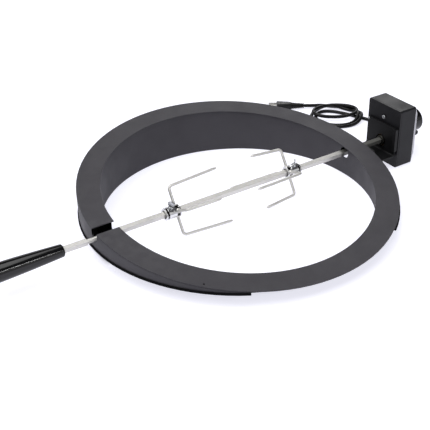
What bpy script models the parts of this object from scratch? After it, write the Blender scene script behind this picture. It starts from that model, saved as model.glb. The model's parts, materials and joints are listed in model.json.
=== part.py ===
"""Rotisserie kit for a round charcoal grill: hollow wedge ring, square spit with two forks, gear motor.

Metres, +Z up. +X runs along the spit towards the motor. The frame's origin lies on the floor, midway
along the kit; everything is drawn around the ring's centre, which stands RING_X further along X.
"""

import math

import bmesh
import bpy
from mathutils import Matrix, Vector

GAP = 0.0003  # air left between pieces that touch
RING_X = 0.024  # ring centre in the assembly's frame
MM = 0.001

# Wedge ring
PLATE_OUTER_R = 0.265
PLATE_INNER_R = 0.2263
PLATE_T = 0.002
PLATE_Z = 0.0559  # top face at the ring's centre
SLOPE = 0.1235  # rise per metre towards +Y
SKIRT_R = 0.2302
WALL_T = 0.002
SEAL_BOTTOM = 0.0212
SEAL_TOP = 0.0253
SEAL_LIP = 0.0015
WALL_START = math.radians(-56)  # the outer wall fades out at the ring's thin side
WALL_SPAN = math.radians(295.6)
RING_STEPS = 96
WALL_STEPS = 80
HOLE_R = 0.0016  # small drilled hole in the top plate, on the handle's side
HOLE_AT = (0.259, math.radians(224.8))  # distance from the centre and direction
PAST = 0.01  # how far a cutter runs past the face it cuts

# Spit line
AXIS_Z = 0.042
SLOT_W = 0.0175
SPIT_SIDE = 0.008
SPIT_TURN = math.radians(13)
JOURNAL_R = 0.004
NOTCH_R = 0.0043  # the V notch's sides touch a circle of this radius round the spit line
DRIVE_HOLE_R = 0.010
SPIT_TIP_X = 0.341
HANDLE_FRONT_X = -0.317
HANDLE_REAR_X = -0.445
TANG_R = 0.003

# Forks
HUB_R = 0.0104
HUB_GROOVE_R = 0.0090
HUB_BACK = -0.0218
HUB_FRONT = 0.0046
HUB_RIM = 0.0018  # length of the narrow rim at each end
HUB_BACK_GROOVE = 0.0030
HUB_FRONT_GROOVE = 0.0058  # the tines leave from this one
HUB_BORE = 0.0088
TINE_R = 0.0024
TINE_BEND_R = 0.041
TINE_TIP_R = 0.0455
TINE_CORNER = 0.006
LONG_TINE = 0.0935
SHORT_TINE = 0.0615
SCREW_STATION = -0.0105
SCREW_R = 0.0024
SCREW_ANGLE = math.radians(103)
LEFT_TINES = ((58, LONG_TINE), (152, SHORT_TINE), (238, LONG_TINE), (328, SHORT_TINE))
RIGHT_TINES = ((58, SHORT_TINE), (159, LONG_TINE), (238, SHORT_TINE), (332, LONG_TINE))
LEFT_SPADE_TURN = math.radians(45)
RIGHT_SPADE_TURN = math.radians(141)  # edge-on from the handle's side
LEFT_FORK_X = -0.120
RIGHT_FORK_X = 0.1037

# Gear motor
FACE_X = 0.320
BOX_HALF_W = 0.041
BOX_H = 0.111
COVER_T = 0.003
BOX_BACK_X = 0.357
REAR_X = 0.378
SHELL_T = 0.0025
CORNER_R = 0.0035
REAR_HALF_W = 0.0255  # half width and end heights of the rear cover's flat back
REAR_LOW = 0.0095
REAR_HIGH = 0.0885
REAR_WALL = 0.0034  # measured across the motor, so the sloping walls come out near SHELL_T
KNOB_R = 0.0215
KNOB_X = 0.399
KNOB_Z = 0.0625
BRACKET_T = 0.003
BRACKET_FACE_X = FACE_X - 0.0008 - BRACKET_T
BRACKET_HALF_W = 0.0368
BRACKET_TOP = 0.077
BRACKET_R = 0.2672
BOLT_Z = 0.0385
BOLT_R = 0.0025
BOLT_HOLE_R = 0.0028
BRACKET_BEND = 0.006
BRACKET_LIP_TOP = 0.050
SPIT_WINDOW_R = 0.0115  # in the bracket's plate, round the drive socket
BUSH_HOLE_R = 0.0120
BOLT_ANGLES = {"front": math.radians(-5.2), "back": math.radians(5.2)}
COVER_SCREW_Z = 0.087
BRACKET_SCREW = (0.0335, 0.0738)  # Y and height of the small screw in the bracket's corner
MODULE = 0.001
OUTPUT_TEETH = 40
PINION_TEETH = 10
WHEEL_TEETH = 30
MESH_PLAY = 0.0003
IDLER_Z = AXIS_Z + MODULE * (OUTPUT_TEETH + PINION_TEETH) / 2 + MESH_PLAY
ROTOR_Z = IDLER_Z + MODULE * (WHEEL_TEETH + PINION_TEETH) / 2 + MESH_PLAY
GEAR_PLATE_X = 0.352

# Cord
CORD_R = 0.0035
COIL_CENTRE = (0.371, 0.1875)
COIL_OUTER_R = 0.0545
COIL_INNER_R = 0.0390
COIL_H = 0.0145
GLAND_LENGTH = 0.0210
GLAND_NECK_R = 0.0045
CORD_EXIT = (REAR_X + GLAND_LENGTH + 3 * GAP, 0.008, 0.0235)
LEAD_ROUTE = [
    CORD_EXIT,
    (0.4080, 0.0080, 0.0235),
    (0.4180, 0.0110, 0.0220),
    (0.4275, 0.0180, 0.0195),
    (0.4335, 0.0290, 0.0155),
    (0.4355, 0.0430, 0.0105),
    (0.4345, 0.0600, 0.0062),
    (0.4310, 0.0780, 0.0042),
    (0.4255, 0.0980, 0.0038),
    (0.4190, 0.1170, 0.0038),
    (0.4130, 0.1340, 0.0038),
    (0.4101, 0.1428, 0.0038),
]
TAIL_ROUTE = [
    (0.3800, 0.2464, 0.0038),
    (0.3700, 0.2508, 0.0040),
    (0.3610, 0.2536, 0.0052),
    (0.3530, 0.2560, 0.0064),
    (0.3485, 0.2578, 0.0069),
    (0.3450, 0.2593, 0.0071),
]
PLUG_START = Vector((0.3440, 0.2600, 0.0072))
PLUG_DIRECTION = Vector((-0.823, 0.568, 0.0)).normalized()
BOOT_LENGTH = 0.026
PLUG_LENGTH = 0.030
PLUG_W = 0.024
PLUG_H = 0.0144

# Local X, Y, Z of a piece on the spit line become world Y, Z, X; a piece that faces back points along -X.
FORWARD = Matrix(((0, 0, 1, 0), (1, 0, 0, 0), (0, 1, 0, 0), (0, 0, 0, 1)))
BACKWARD = Matrix(((0, 0, -1, 0), (1, 0, 0, 0), (0, -1, 0, 0), (0, 0, 0, 1)))


def clear_scene():
    for obj in list(bpy.data.objects):
        bpy.data.objects.remove(obj, do_unlink=True)


def collection(name):
    made = bpy.data.collections.new(name)
    bpy.context.scene.collection.children.link(made)
    return made


clear_scene()
PARTS = collection("rotisserie_kit")
CUTTERS = collection("cutters")
ASSEMBLY = bpy.data.objects.new("assembly", None)
PARTS.objects.link(ASSEMBLY)
ASSEMBLY.location.x = RING_X


def material(name, colour, roughness, metallic=0.0):
    made = bpy.data.materials.new(name)
    made.use_nodes = True
    shader = made.node_tree.nodes["Principled BSDF"]
    shader.inputs["Base Color"].default_value = (*colour, 1.0)
    shader.inputs["Roughness"].default_value = roughness
    shader.inputs["Metallic"].default_value = metallic
    return made


def place(obj, matrix, parent=None):
    """Puts an object at a matrix in its parent's frame; without a parent, the ring-centred frame."""
    obj.parent = parent or ASSEMBLY
    obj.matrix_basis = matrix
    return obj


def add(name, bm, finish, matrix=Matrix(), parent=None, smooth_angle=35):
    """A new object from a bmesh, named and finished, shaded smooth below the given edge angle."""
    bmesh.ops.recalc_face_normals(bm, faces=bm.faces)
    mesh = bpy.data.meshes.new(name)
    bm.to_mesh(mesh)
    bm.free()
    mesh.shade_smooth()
    mesh.set_sharp_from_angle(angle=math.radians(smooth_angle))
    obj = bpy.data.objects.new(name, mesh)
    PARTS.objects.link(obj)
    if finish:
        mesh.materials.append(finish)
    return place(obj, matrix, parent)


def as_cutter(obj):
    PARTS.objects.unlink(obj)
    CUTTERS.objects.link(obj)
    obj.hide_render = True
    obj.display_type = "WIRE"
    return obj


def combine(obj, operation, *others):
    for other in others:
        modifier = obj.modifiers.new(other.name, "BOOLEAN")
        modifier.operation = operation
        modifier.solver = "EXACT"
        modifier.object = other
    return obj


def cut(obj, *cutters):
    return combine(obj, "DIFFERENCE", *cutters)


def box_mesh(low, high):
    low, high = Vector(low), Vector(high)
    bm = bmesh.new()
    bmesh.ops.create_cube(bm, size=1)
    bmesh.ops.scale(bm, vec=high - low, verts=bm.verts)
    bmesh.ops.translate(bm, vec=(low + high) / 2, verts=bm.verts)
    return bm


def round_edges(bm, radius, segments, chosen=lambda edge: True):
    """Rounds every edge, or only the chosen ones."""
    edges = [edge for edge in bm.edges if chosen(edge)]
    bmesh.ops.bevel(bm, geom=edges, offset=radius, segments=segments, profile=0.5, affect="EDGES")
    return bm


def along(axis):
    """Chooses the edges that run along one axis."""
    return lambda edge: abs((edge.verts[1].co - edge.verts[0].co).normalized()[axis]) > 0.9


def cylinder_mesh(radius, start, end, segments=32, end_radius=None):
    """A cylinder or cone between two points."""
    start, end = Vector(start), Vector(end)
    turn = (end - start).to_track_quat("Z", "Y").to_matrix().to_4x4()
    bm = bmesh.new()
    bmesh.ops.create_cone(
        bm,
        cap_ends=True,
        segments=segments,
        radius1=radius,
        radius2=radius if end_radius is None else end_radius,
        depth=(end - start).length,
        matrix=Matrix.Translation((start + end) / 2) @ turn,
    )
    return bm


def prism_mesh(outline, low, high):
    """An outline in the local XY plane, extruded from one height to another."""
    bm = bmesh.new()
    face = bm.faces.new([bm.verts.new((x, y, low)) for x, y in outline])
    grown = bmesh.ops.extrude_face_region(bm, geom=[face])["geom"]
    corners = [item for item in grown if isinstance(item, bmesh.types.BMVert)]
    bmesh.ops.translate(bm, vec=(0, 0, high - low), verts=corners)
    return bm


def spun_mesh(section, start=0.0, span=math.tau, steps=RING_STEPS):
    """A radius and height section swept round the Z axis, closed at its ends unless it goes all round."""
    bm = bmesh.new()
    ring = [bm.verts.new((r * math.cos(start), r * math.sin(start), z)) for r, z in section]
    face = bm.faces.new(ring)
    whole = span > math.tau - 1e-6
    swept = list(face.edges) if whole else [face] + list(face.edges) + ring
    if whole:
        bm.faces.remove(face)
    bmesh.ops.spin(bm, geom=swept, cent=(0, 0, 0), axis=(0, 0, 1), angle=span, steps=steps)
    bmesh.ops.remove_doubles(bm, verts=bm.verts, dist=1e-6)
    return bm


def follow_slope(bm, above=-1.0):
    """Raises every point above a height so that it follows the ring's sloping top."""
    for vert in bm.verts:
        if vert.co.z > above:
            vert.co.z += SLOPE * vert.co.y
    return bm


def turned(name, profile, finish, matrix, parent=None, steps=32):
    """A radius and height profile turned round the local Z axis, its outer side running top to bottom."""
    bm = bmesh.new()
    points = [bm.verts.new((r, 0, z)) for r, z in profile]
    pairs = list(zip(points, points[1:]))
    if profile[0][0] > 0:
        pairs.append((points[-1], points[0]))
    for pair in pairs:
        bm.edges.new(pair)
    mesh = bpy.data.meshes.new(name)
    bm.to_mesh(mesh)
    bm.free()
    mesh.materials.append(finish)
    obj = bpy.data.objects.new(name, mesh)
    PARTS.objects.link(obj)
    screw = obj.modifiers.new("turn", "SCREW")
    screw.steps = steps
    screw.render_steps = steps
    screw.use_merge_vertices = True
    screw.merge_threshold = 1e-5
    screw.use_smooth_shade = True
    return place(obj, matrix, parent)


def wire(name, points, radius, finish, matrix=Matrix(), parent=None, radii=None, sides=2):
    """A round wire along points, as a poly curve with filled caps."""
    curve = bpy.data.curves.new(name, "CURVE")
    curve.dimensions = "3D"
    curve.bevel_depth = radius
    curve.bevel_resolution = sides
    curve.use_fill_caps = True
    spline = curve.splines.new("POLY")
    spline.points.add(len(points) - 1)
    for index, point in enumerate(points):
        spline.points[index].co = (*point, 1.0)
        if radii:
            spline.points[index].radius = radii[index]
    spline.use_smooth = True
    curve.materials.append(finish)
    obj = bpy.data.objects.new(name, curve)
    PARTS.objects.link(obj)
    return place(obj, matrix, parent)


def smooth_route(route, spacing):
    """Points at a steady spacing along a Catmull-Rom curve through the route's points."""
    route = [Vector(point) for point in route]
    ends = [2 * route[0] - route[1]] + route + [2 * route[-1] - route[-2]]
    fine = []
    for before, here, after, beyond in zip(ends, ends[1:], ends[2:], ends[3:]):
        for step in range(20):
            t = step / 20
            fine.append(
                0.5
                * (
                    2 * here
                    + (after - before) * t
                    + (2 * before - 5 * here + 4 * after - beyond) * t**2
                    + (3 * here - before - 3 * after + beyond) * t**3
                )
            )
    fine.append(route[-1])
    length = sum((b - a).length for a, b in zip(fine, fine[1:]))
    count = max(2, round(length / spacing))
    points, run = [fine[0]], 0.0
    for a, b in zip(fine, fine[1:]):
        run += (b - a).length
        if run >= length * len(points) / count and len(points) < count:
            points.append(b)
    return points + [fine[-1]]


def on_axis(x, y=0.0, z=AXIS_Z, facing=FORWARD):
    return Matrix.Translation((x, y, z)) @ facing


RING_PAINT = material("ring_paint", (0.060, 0.060, 0.065), 0.55, 0.3)
SEAL_RUBBER = material("seal_rubber", (0.008, 0.008, 0.009), 0.7)
BRIGHT_STEEL = material("bright_steel", (0.62, 0.61, 0.58), 0.28, 1.0)
DARK_STEEL = material("dark_steel", (0.10, 0.10, 0.095), 0.45, 1.0)
CHROME = material("chrome", (0.75, 0.75, 0.76), 0.12, 1.0)
ZINC = material("zinc", (0.55, 0.56, 0.58), 0.35, 1.0)
BRONZE = material("bronze", (0.45, 0.30, 0.13), 0.4, 1.0)
BLACK_GLOSS = material("black_gloss", (0.010, 0.010, 0.011), 0.18)
BLACK_SATIN = material("black_satin", (0.016, 0.016, 0.018), 0.42)
REAR_GREY = material("rear_grey", (0.52, 0.52, 0.55), 0.45)
BRACKET_PAINT = material("bracket_paint", (0.014, 0.014, 0.015), 0.45, 0.3)
GEAR_NYLON = material("gear_nylon", (0.75, 0.73, 0.66), 0.5)
CORD_RUBBER = material("cord_rubber", (0.011, 0.011, 0.012), 0.45)
BRASS = material("brass", (0.60, 0.44, 0.17), 0.3, 1.0)
NICKEL = material("nickel", (0.58, 0.56, 0.52), 0.3, 1.0)


# ---- Wedge ring ----


def spit_notch():
    """Cutter for the walls: the slot's width at the top, narrowing in a V to the spit line."""
    half, top = SLOT_W / 2, 2 * PLATE_Z
    apex = AXIS_Z - NOTCH_R * math.sqrt(2)
    outline = [(half, top), (-half, top), (-half, apex + half), (0, apex), (half, apex + half)]
    bm = prism_mesh(outline, -PLATE_OUTER_R - PAST, -PLATE_INNER_R + PAST)
    return as_cutter(add("spit_notch", bm, None, FORWARD))


def ring_top_plate():
    top, bottom = PLATE_Z, PLATE_Z - PLATE_T
    section = [
        (PLATE_INNER_R, bottom),
        (PLATE_OUTER_R, bottom),
        (PLATE_OUTER_R, top),
        (PLATE_INNER_R, top),
    ]
    plate = add("ring_top_plate", follow_slope(spun_mesh(section)), RING_PAINT)
    half, outer, inner = SLOT_W / 2, PLATE_OUTER_R + PAST, PLATE_INNER_R - PAST
    slot = box_mesh((-outer, -half, 0.0), (-inner, half, 2 * PLATE_Z))
    distance, angle = HOLE_AT
    spot = Vector((distance * math.cos(angle), distance * math.sin(angle), 0))
    hole = cylinder_mesh(HOLE_R, spot, spot + Vector((0, 0, 2 * PLATE_Z)), 12)
    return cut(
        plate,
        as_cutter(add("plate_slot", slot, None)),
        as_cutter(add("plate_hole", hole, None)),
    )


def ring_wall(name, inner_r, bottom, start, span, steps, cutters):
    top = PLATE_Z - PLATE_T - GAP
    outer_r = inner_r + WALL_T
    section = [(inner_r, bottom), (outer_r, bottom), (outer_r, top), (inner_r, top)]
    bm = follow_slope(spun_mesh(section, start, span, steps), above=SEAL_TOP)
    return cut(add(name, bm, RING_PAINT), *cutters)


def edge_seal():
    wall_in, wall_out = PLATE_OUTER_R - WALL_T - GAP, PLATE_OUTER_R + GAP
    web = SEAL_BOTTOM + SEAL_LIP - GAP
    section = [
        (wall_in - SEAL_LIP, SEAL_BOTTOM),
        (wall_out + SEAL_LIP, SEAL_BOTTOM),
        (wall_out + SEAL_LIP, SEAL_TOP),
        (wall_out, SEAL_TOP),
        (wall_out, web),
        (wall_in, web),
        (wall_in, SEAL_TOP),
        (wall_in - SEAL_LIP, SEAL_TOP),
    ]
    return add("edge_seal", spun_mesh(section, WALL_START, WALL_SPAN, WALL_STEPS), SEAL_RUBBER)


def wedge_ring():
    notch = spit_notch()
    inner, outer = PLATE_INNER_R - PAST, PLATE_OUTER_R + PAST
    bm = cylinder_mesh(DRIVE_HOLE_R, (inner, 0, AXIS_Z), (outer, 0, AXIS_Z))
    drive_hole = as_cutter(add("drive_hole", bm, None))
    bolt_holes = []
    for side, angle in BOLT_ANGLES.items():
        bm = radial_cylinder(BOLT_HOLE_R, PLATE_OUTER_R - PAST, PLATE_OUTER_R + 1.5 * PAST, angle)
        bolt_holes.append(as_cutter(add(f"bolt_hole_{side}", bm, None)))
    ring_top_plate()
    ring_wall("ring_inner_wall", SKIRT_R, 0.0, 0.0, math.tau, RING_STEPS, [notch, drive_hole])
    ring_wall(
        "ring_outer_wall",
        PLATE_OUTER_R - WALL_T,
        SEAL_BOTTOM + SEAL_LIP,
        WALL_START,
        WALL_SPAN,
        WALL_STEPS,
        [notch, drive_hole, *bolt_holes],
    )
    edge_seal()
    motor_bracket(bolt_holes)


# ---- Motor bracket and its fasteners ----

def radial_cylinder(radius, inner, outer, angle, segments=16):
    out = Vector((math.cos(angle), math.sin(angle), 0))
    lift = Vector((0, 0, BOLT_Z))
    return cylinder_mesh(radius, out * inner + lift, out * outer + lift, segments)


def motor_bracket(bolt_holes):
    """A plate bent up against the ring's outer wall at one end and up the motor's face at the other."""
    floor_z, bend = SEAL_BOTTOM, BRACKET_BEND
    slices, arcs = 12, 5
    near, far = BRACKET_R, BRACKET_FACE_X + BRACKET_T
    path = [(near, BRACKET_LIP_TOP, 1.0)]
    for step in range(arcs + 1):
        turn = math.pi / 2 * step / arcs
        path.append((near + bend * (1 - math.cos(turn)), floor_z + bend * (1 - math.sin(turn)), 1.0))
    for step in range(arcs + 1):
        turn = math.pi / 2 * step / arcs
        path.append((far - bend * (1 - math.sin(turn)), floor_z + bend * (1 - math.cos(turn)), 0.0))
    path.append((far, BRACKET_TOP, 0.0))
    bm = bmesh.new()
    rows = []
    for index in range(slices + 1):
        y = BRACKET_HALF_W * (2 * index / slices - 1)
        hug = math.sqrt(BRACKET_R**2 - y**2) - BRACKET_R
        rows.append([bm.verts.new((x + hug * share, y, z)) for x, z, share in path])
    for row, following in zip(rows, rows[1:]):
        for index in range(len(path) - 1):
            bm.faces.new((row[index], row[index + 1], following[index + 1], following[index]))
    bracket = add("motor_bracket", bm, BRACKET_PAINT)
    thick = bracket.modifiers.new("thickness", "SOLIDIFY")
    thick.thickness = BRACKET_T
    thick.offset = -1.0
    thick.use_even_offset = True
    window = cylinder_mesh(SPIT_WINDOW_R, (far - PAST, 0, AXIS_Z), (far + PAST, 0, AXIS_Z))
    spit_way = cylinder_mesh(DRIVE_HOLE_R, (near - PAST, 0, AXIS_Z), (near + PAST, 0, AXIS_Z))
    return cut(
        bracket,
        as_cutter(add("bracket_window", window, None)),
        as_cutter(add("bracket_spit_way", spit_way, None)),
        bracket_screw_hole("bracket_corner_hole"),
        *bolt_holes,
    )


def bracket_screw_hole(name):
    y, z = BRACKET_SCREW
    bm = cylinder_mesh(0.0016, (FACE_X - PAST, y, z), (FACE_X + PAST, y, z), 12)
    return as_cutter(add(name, bm, None))


def bracket_fasteners():
    outer_face = BRACKET_R + BRACKET_T
    wall_in = PLATE_OUTER_R - WALL_T
    for side, angle in BOLT_ANGLES.items():
        turn = Matrix.Rotation(angle, 4, "Z") @ Matrix.Translation((0, 0, BOLT_Z)) @ FORWARD
        head, shank, end = outer_face + 0.0006, BOLT_R, wall_in - 0.007
        bolt = [
            (0, head + 0.0028),
            (0.0030, head + 0.0026),
            (0.0046, head + 0.0014),
            (0.0048, head),
            (shank, head),
            (shank, end),
            (0, end),
        ]
        turned(f"bracket_bolt_{side}", bolt, ZINC, turn, steps=16)
        nut = prism_mesh(polygon(6, 0.0046), wall_in - 0.0046, wall_in - 0.0006)
        nut_hole = cylinder_mesh(BOLT_HOLE_R, (0, 0, wall_in - PAST), (0, 0, wall_in + PAST), 16)
        cut(
            add(f"bracket_nut_{side}", nut, ZINC, turn),
            as_cutter(add(f"nut_hole_{side}", nut_hole, None, turn)),
        )
        low, high = PLATE_OUTER_R + GAP, BRACKET_R - 0.0005
        spacer = [(0.0045, high), (0.0045, low), (BOLT_HOLE_R, low), (BOLT_HOLE_R, high)]
        turned(f"bracket_spacer_{side}", spacer, ZINC, turn, steps=16)


def polygon(sides, radius, phase=0.0):
    return [
        (
            radius * math.cos(phase + math.tau * index / sides),
            radius * math.sin(phase + math.tau * index / sides),
        )
        for index in range(sides)
    ]


# ---- Gear motor ----


def motor_front_cover():
    bm = box_mesh((FACE_X, -BOX_HALF_W, 0), (FACE_X + COVER_T, BOX_HALF_W, BOX_H))
    cover = add("motor_front_cover", round_edges(bm, CORNER_R, 4, along(0)), BLACK_SATIN)
    low, high = FACE_X - PAST, FACE_X + PAST
    bush_hole = cylinder_mesh(BUSH_HOLE_R, (low, 0, AXIS_Z), (high, 0, AXIS_Z))
    screw_hole = cylinder_mesh(0.0019, (low, 0, COVER_SCREW_Z), (high, 0, COVER_SCREW_Z), 12)
    corner_hole = bracket_screw_hole("cover_corner_hole")
    return cut(
        cover,
        as_cutter(add("bush_hole", bush_hole, None)),
        as_cutter(add("cover_screw_hole", screw_hole, None)),
        corner_hole,
    )


def motor_housing():
    front = FACE_X + COVER_T + GAP
    bm = box_mesh((front, -BOX_HALF_W, 0), (BOX_BACK_X, BOX_HALF_W, BOX_H))
    housing = add("motor_housing", round_edges(bm, CORNER_R, 4, along(0)), BLACK_SATIN)
    inner = BOX_HALF_W - SHELL_T
    back = BOX_BACK_X - SHELL_T
    cavity = box_mesh((front - PAST, -inner, SHELL_T), (back, inner, BOX_H - SHELL_T))
    window = box_mesh((back - PAST, -0.028, 0.014), (BOX_BACK_X + PAST, 0.028, 0.103))
    return cut(
        housing,
        as_cutter(add("housing_cavity", cavity, None)),
        as_cutter(add("housing_window", window, None)),
    )


def tapered_box(front, rear):
    """A box along X between two end sections, each its X, half width, bottom and top."""
    bm = box_mesh((front[0], -front[1], front[2]), (rear[0], front[1], front[3]))
    middle_x, middle_z = (front[0] + rear[0]) / 2, (front[2] + front[3]) / 2
    for vert in bm.verts:
        if vert.co.x > middle_x:
            vert.co.y = math.copysign(rear[1], vert.co.y)
            vert.co.z = rear[2] if vert.co.z < middle_z else rear[3]
    return bm


def rear_section(x, wall=0.0):
    """The rear cover's section at a station along X, drawn in by a wall's thickness."""
    front, rim = BOX_BACK_X + GAP, 0.0005
    share = (x - front) / (REAR_X - front)
    half = (BOX_HALF_W - rim) * (1 - share) + REAR_HALF_W * share
    low = rim * (1 - share) + REAR_LOW * share
    high = (BOX_H - rim) * (1 - share) + REAR_HIGH * share
    return x, half - wall, low + wall, high - wall


def rear_screw_spots():
    return [(-0.0185, 0.0820), (0.0185, 0.0820), (-0.0185, 0.0175)]


def rear_cover():
    front, lead, back = BOX_BACK_X + GAP, PAST, REAR_X - SHELL_T
    bm = tapered_box(rear_section(front), rear_section(REAR_X))
    bm = round_edges(bm, 0.0025, 3, lambda edge: max(v.co.x for v in edge.verts) > front + GAP)
    cover = add("rear_cover", bm, REAR_GREY)
    bm = tapered_box(rear_section(front - lead, REAR_WALL), rear_section(back, REAR_WALL))
    cutters = [as_cutter(add("rear_cavity", bm, None))]
    for name, radius, y, z, segments in (
        ("knob_shaft_hole", 0.0040, 0.0, KNOB_Z, 24),
        ("gland_hole", GLAND_NECK_R + GAP, CORD_EXIT[1], CORD_EXIT[2], 24),
    ):
        bm = cylinder_mesh(radius, (REAR_X - lead, y, z), (REAR_X + lead, y, z), segments)
        cutters.append(as_cutter(add(name, bm, None)))
    for number, (y, z) in enumerate(rear_screw_spots(), 1):
        bm = cylinder_mesh(0.0017, (REAR_X - lead, y, z), (REAR_X + lead, y, z), 12)
        cutters.append(as_cutter(add(f"rear_screw_hole_{number}", bm, None)))
    return cut(cover, *cutters)


def pan_screw(name, head_r, shank_r, length, matrix, finish):
    """A pan-head screw; local Z leaves the head, whose underside is at zero."""
    profile = [
        (0, 0.0021),
        (head_r * 0.55, 0.0020),
        (head_r * 0.9, 0.0012),
        (head_r, 0),
        (shank_r, 0),
        (shank_r, -length),
        (0, -length - 0.0008),
    ]
    return turned(name, profile, finish, matrix, steps=16)


def motor_screws():
    face = on_axis(FACE_X - GAP, 0, COVER_SCREW_Z, BACKWARD)
    pan_screw("cover_screw", 0.0038, 0.0016, 0.009, face, ZINC)
    face = on_axis(BRACKET_FACE_X - GAP, *BRACKET_SCREW, BACKWARD)
    pan_screw("bracket_screw", 0.0024, 0.0013, 0.011, face, ZINC)
    for number, (y, z) in enumerate(rear_screw_spots(), 1):
        pan_screw(f"rear_screw_{number}", 0.0030, 0.0014, 0.006, on_axis(REAR_X + GAP, y, z), ZINC)


def guide_rail():
    """Folded strip on the motor's face that holds the near edge of the bracket's plate."""
    outer, inner, lip = 0.0398, 0.0373, 0.0325
    back, front = FACE_X - GAP, FACE_X - 0.0072
    step = front + 0.0026
    outline = [
        (back, -inner),
        (back, -outer),
        (front, -outer),
        (front, -lip),
        (step, -lip),
        (step, -inner),
    ]
    return add("guide_rail", prism_mesh(outline, 0.034, BRACKET_TOP), BRACKET_PAINT)


def drive_bush():
    low, high = FACE_X - 0.0005, FACE_X + 0.0085
    flange = FACE_X + COVER_T + GAP
    profile = [
        (0.0140, high),
        (0.0140, flange),
        (0.0117, flange),
        (0.0117, low),
        (0.0093, low),
        (0.0093, high),
    ]
    return turned("drive_bush", profile, BRONZE, on_axis(0))


def gear_plate():
    half, low, high = BOX_HALF_W - 0.0030, 0.0031, BOX_H - 0.0031
    plate = add(
        "gear_plate",
        box_mesh((GEAR_PLATE_X, -half, low), (GEAR_PLATE_X + 0.0022, half, high)),
        ZINC,
    )
    ends = GEAR_PLATE_X - PAST, GEAR_PLATE_X + PAST
    cutters = []
    for name, radius, z in (
        ("plate_drive_hole", 0.0053, AXIS_Z),
        ("plate_axle_hole", 0.0023, IDLER_Z),
        ("plate_rotor_hole", 0.0018, ROTOR_Z),
    ):
        bm = cylinder_mesh(radius, (ends[0], 0, z), (ends[1], 0, z), 24)
        cutters.append(as_cutter(add(name, bm, None)))
    return cut(plate, *cutters)


def motor_can():
    front, back, radius = GEAR_PLATE_X + 0.0025, 0.3648, 0.0116
    profile = [
        (0, back),
        (radius - 0.0012, back),
        (radius, back - 0.0012),
        (radius, front),
        (0.0018, front),
        (0.0018, 0.3618),
        (0, 0.3618),
    ]
    return turned("motor_can", profile, ZINC, on_axis(0, 0, ROTOR_Z))


def switch_body():
    bm = box_mesh((0.3585, -0.011, KNOB_Z - 0.0105), (0.3725, 0.011, KNOB_Z + 0.0105))
    bm = round_edges(bm, 0.001, 2)
    hole = cylinder_mesh(0.0033, (0.362, 0, KNOB_Z), (0.38, 0, KNOB_Z), 24)
    return cut(add("switch_body", bm, BLACK_SATIN), as_cutter(add("switch_bore", hole, None)))


def power_knob():
    """Rotary switch knob on the rear: a dished disc with a grip bar across it and its shaft."""
    base, rim, dish = REAR_X + 0.0006, 0.0028, KNOB_X - 0.0055
    profile = [
        (0, dish),
        (KNOB_R - rim, dish),
        (KNOB_R - rim, KNOB_X),
        (KNOB_R - 0.0010, KNOB_X),
        (KNOB_R, KNOB_X - 0.0014),
        (KNOB_R, base + 0.001),
        (KNOB_R - 0.001, base + 0.0025),
        (0.0030, base + 0.0025),
        (0.0030, 0.3635),
        (0, 0.3635),
    ]
    knob = turned("power_knob", profile, BLACK_GLOSS, on_axis(0, 0, KNOB_Z))
    reach = KNOB_R - rim / 2
    bar = box_mesh((-0.0028, -reach, dish - 0.001), (0.0028, reach, KNOB_X - 0.0008))
    bar = add("grip_bar", bar, None, on_axis(0, 0, KNOB_Z))
    return combine(knob, "UNION", as_cutter(bar))


def gear_outline(teeth, phase):
    """Straight-sided teeth: a narrow tip and a wide root on each."""
    pitch = MODULE * teeth / 2
    tip, root = pitch + 0.9 * MODULE, pitch - 1.2 * MODULE
    outline = []
    for index in range(teeth):
        middle = phase + math.tau * index / teeth
        for radius, width in ((root, -1.0), (tip, -0.36), (tip, 0.36), (root, 1.0)):
            angle = middle + width * MODULE / radius
            outline.append((radius * math.cos(angle), radius * math.sin(angle)))
    return outline


def gear(name, teeth, bore_r, x_low, x_high, z, phase, finish):
    bm = prism_mesh(gear_outline(teeth, phase), x_low, x_high)
    wheel = add(name, bm, finish, on_axis(0, 0, z), smooth_angle=20)
    bore = cylinder_mesh(bore_r, (0, 0, x_low - PAST), (0, 0, x_high + PAST), 24)
    return cut(wheel, as_cutter(add(f"{name}_bore", bore, None, on_axis(0, 0, z))))


def gear_train():
    gear("output_gear", OUTPUT_TEETH, 0.0093, 0.3292, 0.3350, AXIS_Z, 0, GEAR_NYLON)
    gear("idler_pinion", PINION_TEETH, 0.0023, 0.3292, 0.3350, IDLER_Z, 0, BRASS)
    gear("idler_wheel", WHEEL_TEETH, 0.0023, 0.3355, 0.3395, IDLER_Z, 0, GEAR_NYLON)
    half_tooth = math.pi / PINION_TEETH
    gear("rotor_pinion", PINION_TEETH, 0.0018, 0.3352, 0.3398, ROTOR_Z, half_tooth, BRASS)
    axle = cylinder_mesh(0.0020, (0.3250, 0, IDLER_Z), (0.3540, 0, IDLER_Z), 24)
    add("idler_axle", axle, BRIGHT_STEEL)
    shaft = cylinder_mesh(0.0015, (0.3300, 0, ROTOR_Z), (0.3615, 0, ROTOR_Z), 24)
    add("rotor_shaft", shaft, BRIGHT_STEEL)


def drive_socket():
    """Sleeve that the spit's square end plugs into, carried by the bush and the gear plate."""
    front, shoulder, back = 0.3143, 0.3460, 0.3538
    profile = [
        (0, back),
        (0.0050, back),
        (0.0050, shoulder),
        (0.0090, shoulder),
        (0.0090, front + 0.0008),
        (0.0082, front),
        (0, front),
    ]
    socket = turned("drive_socket", profile, DARK_STEEL, on_axis(0))
    half = SPIT_SIDE / 2 + 0.0004
    bore = box_mesh((-half, -half, front - PAST), (half, half, 0.3435))
    turn = on_axis(0) @ Matrix.Rotation(SPIT_TURN, 4, "Z")
    return cut(socket, as_cutter(add("socket_bore", bore, None, turn)))


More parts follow.
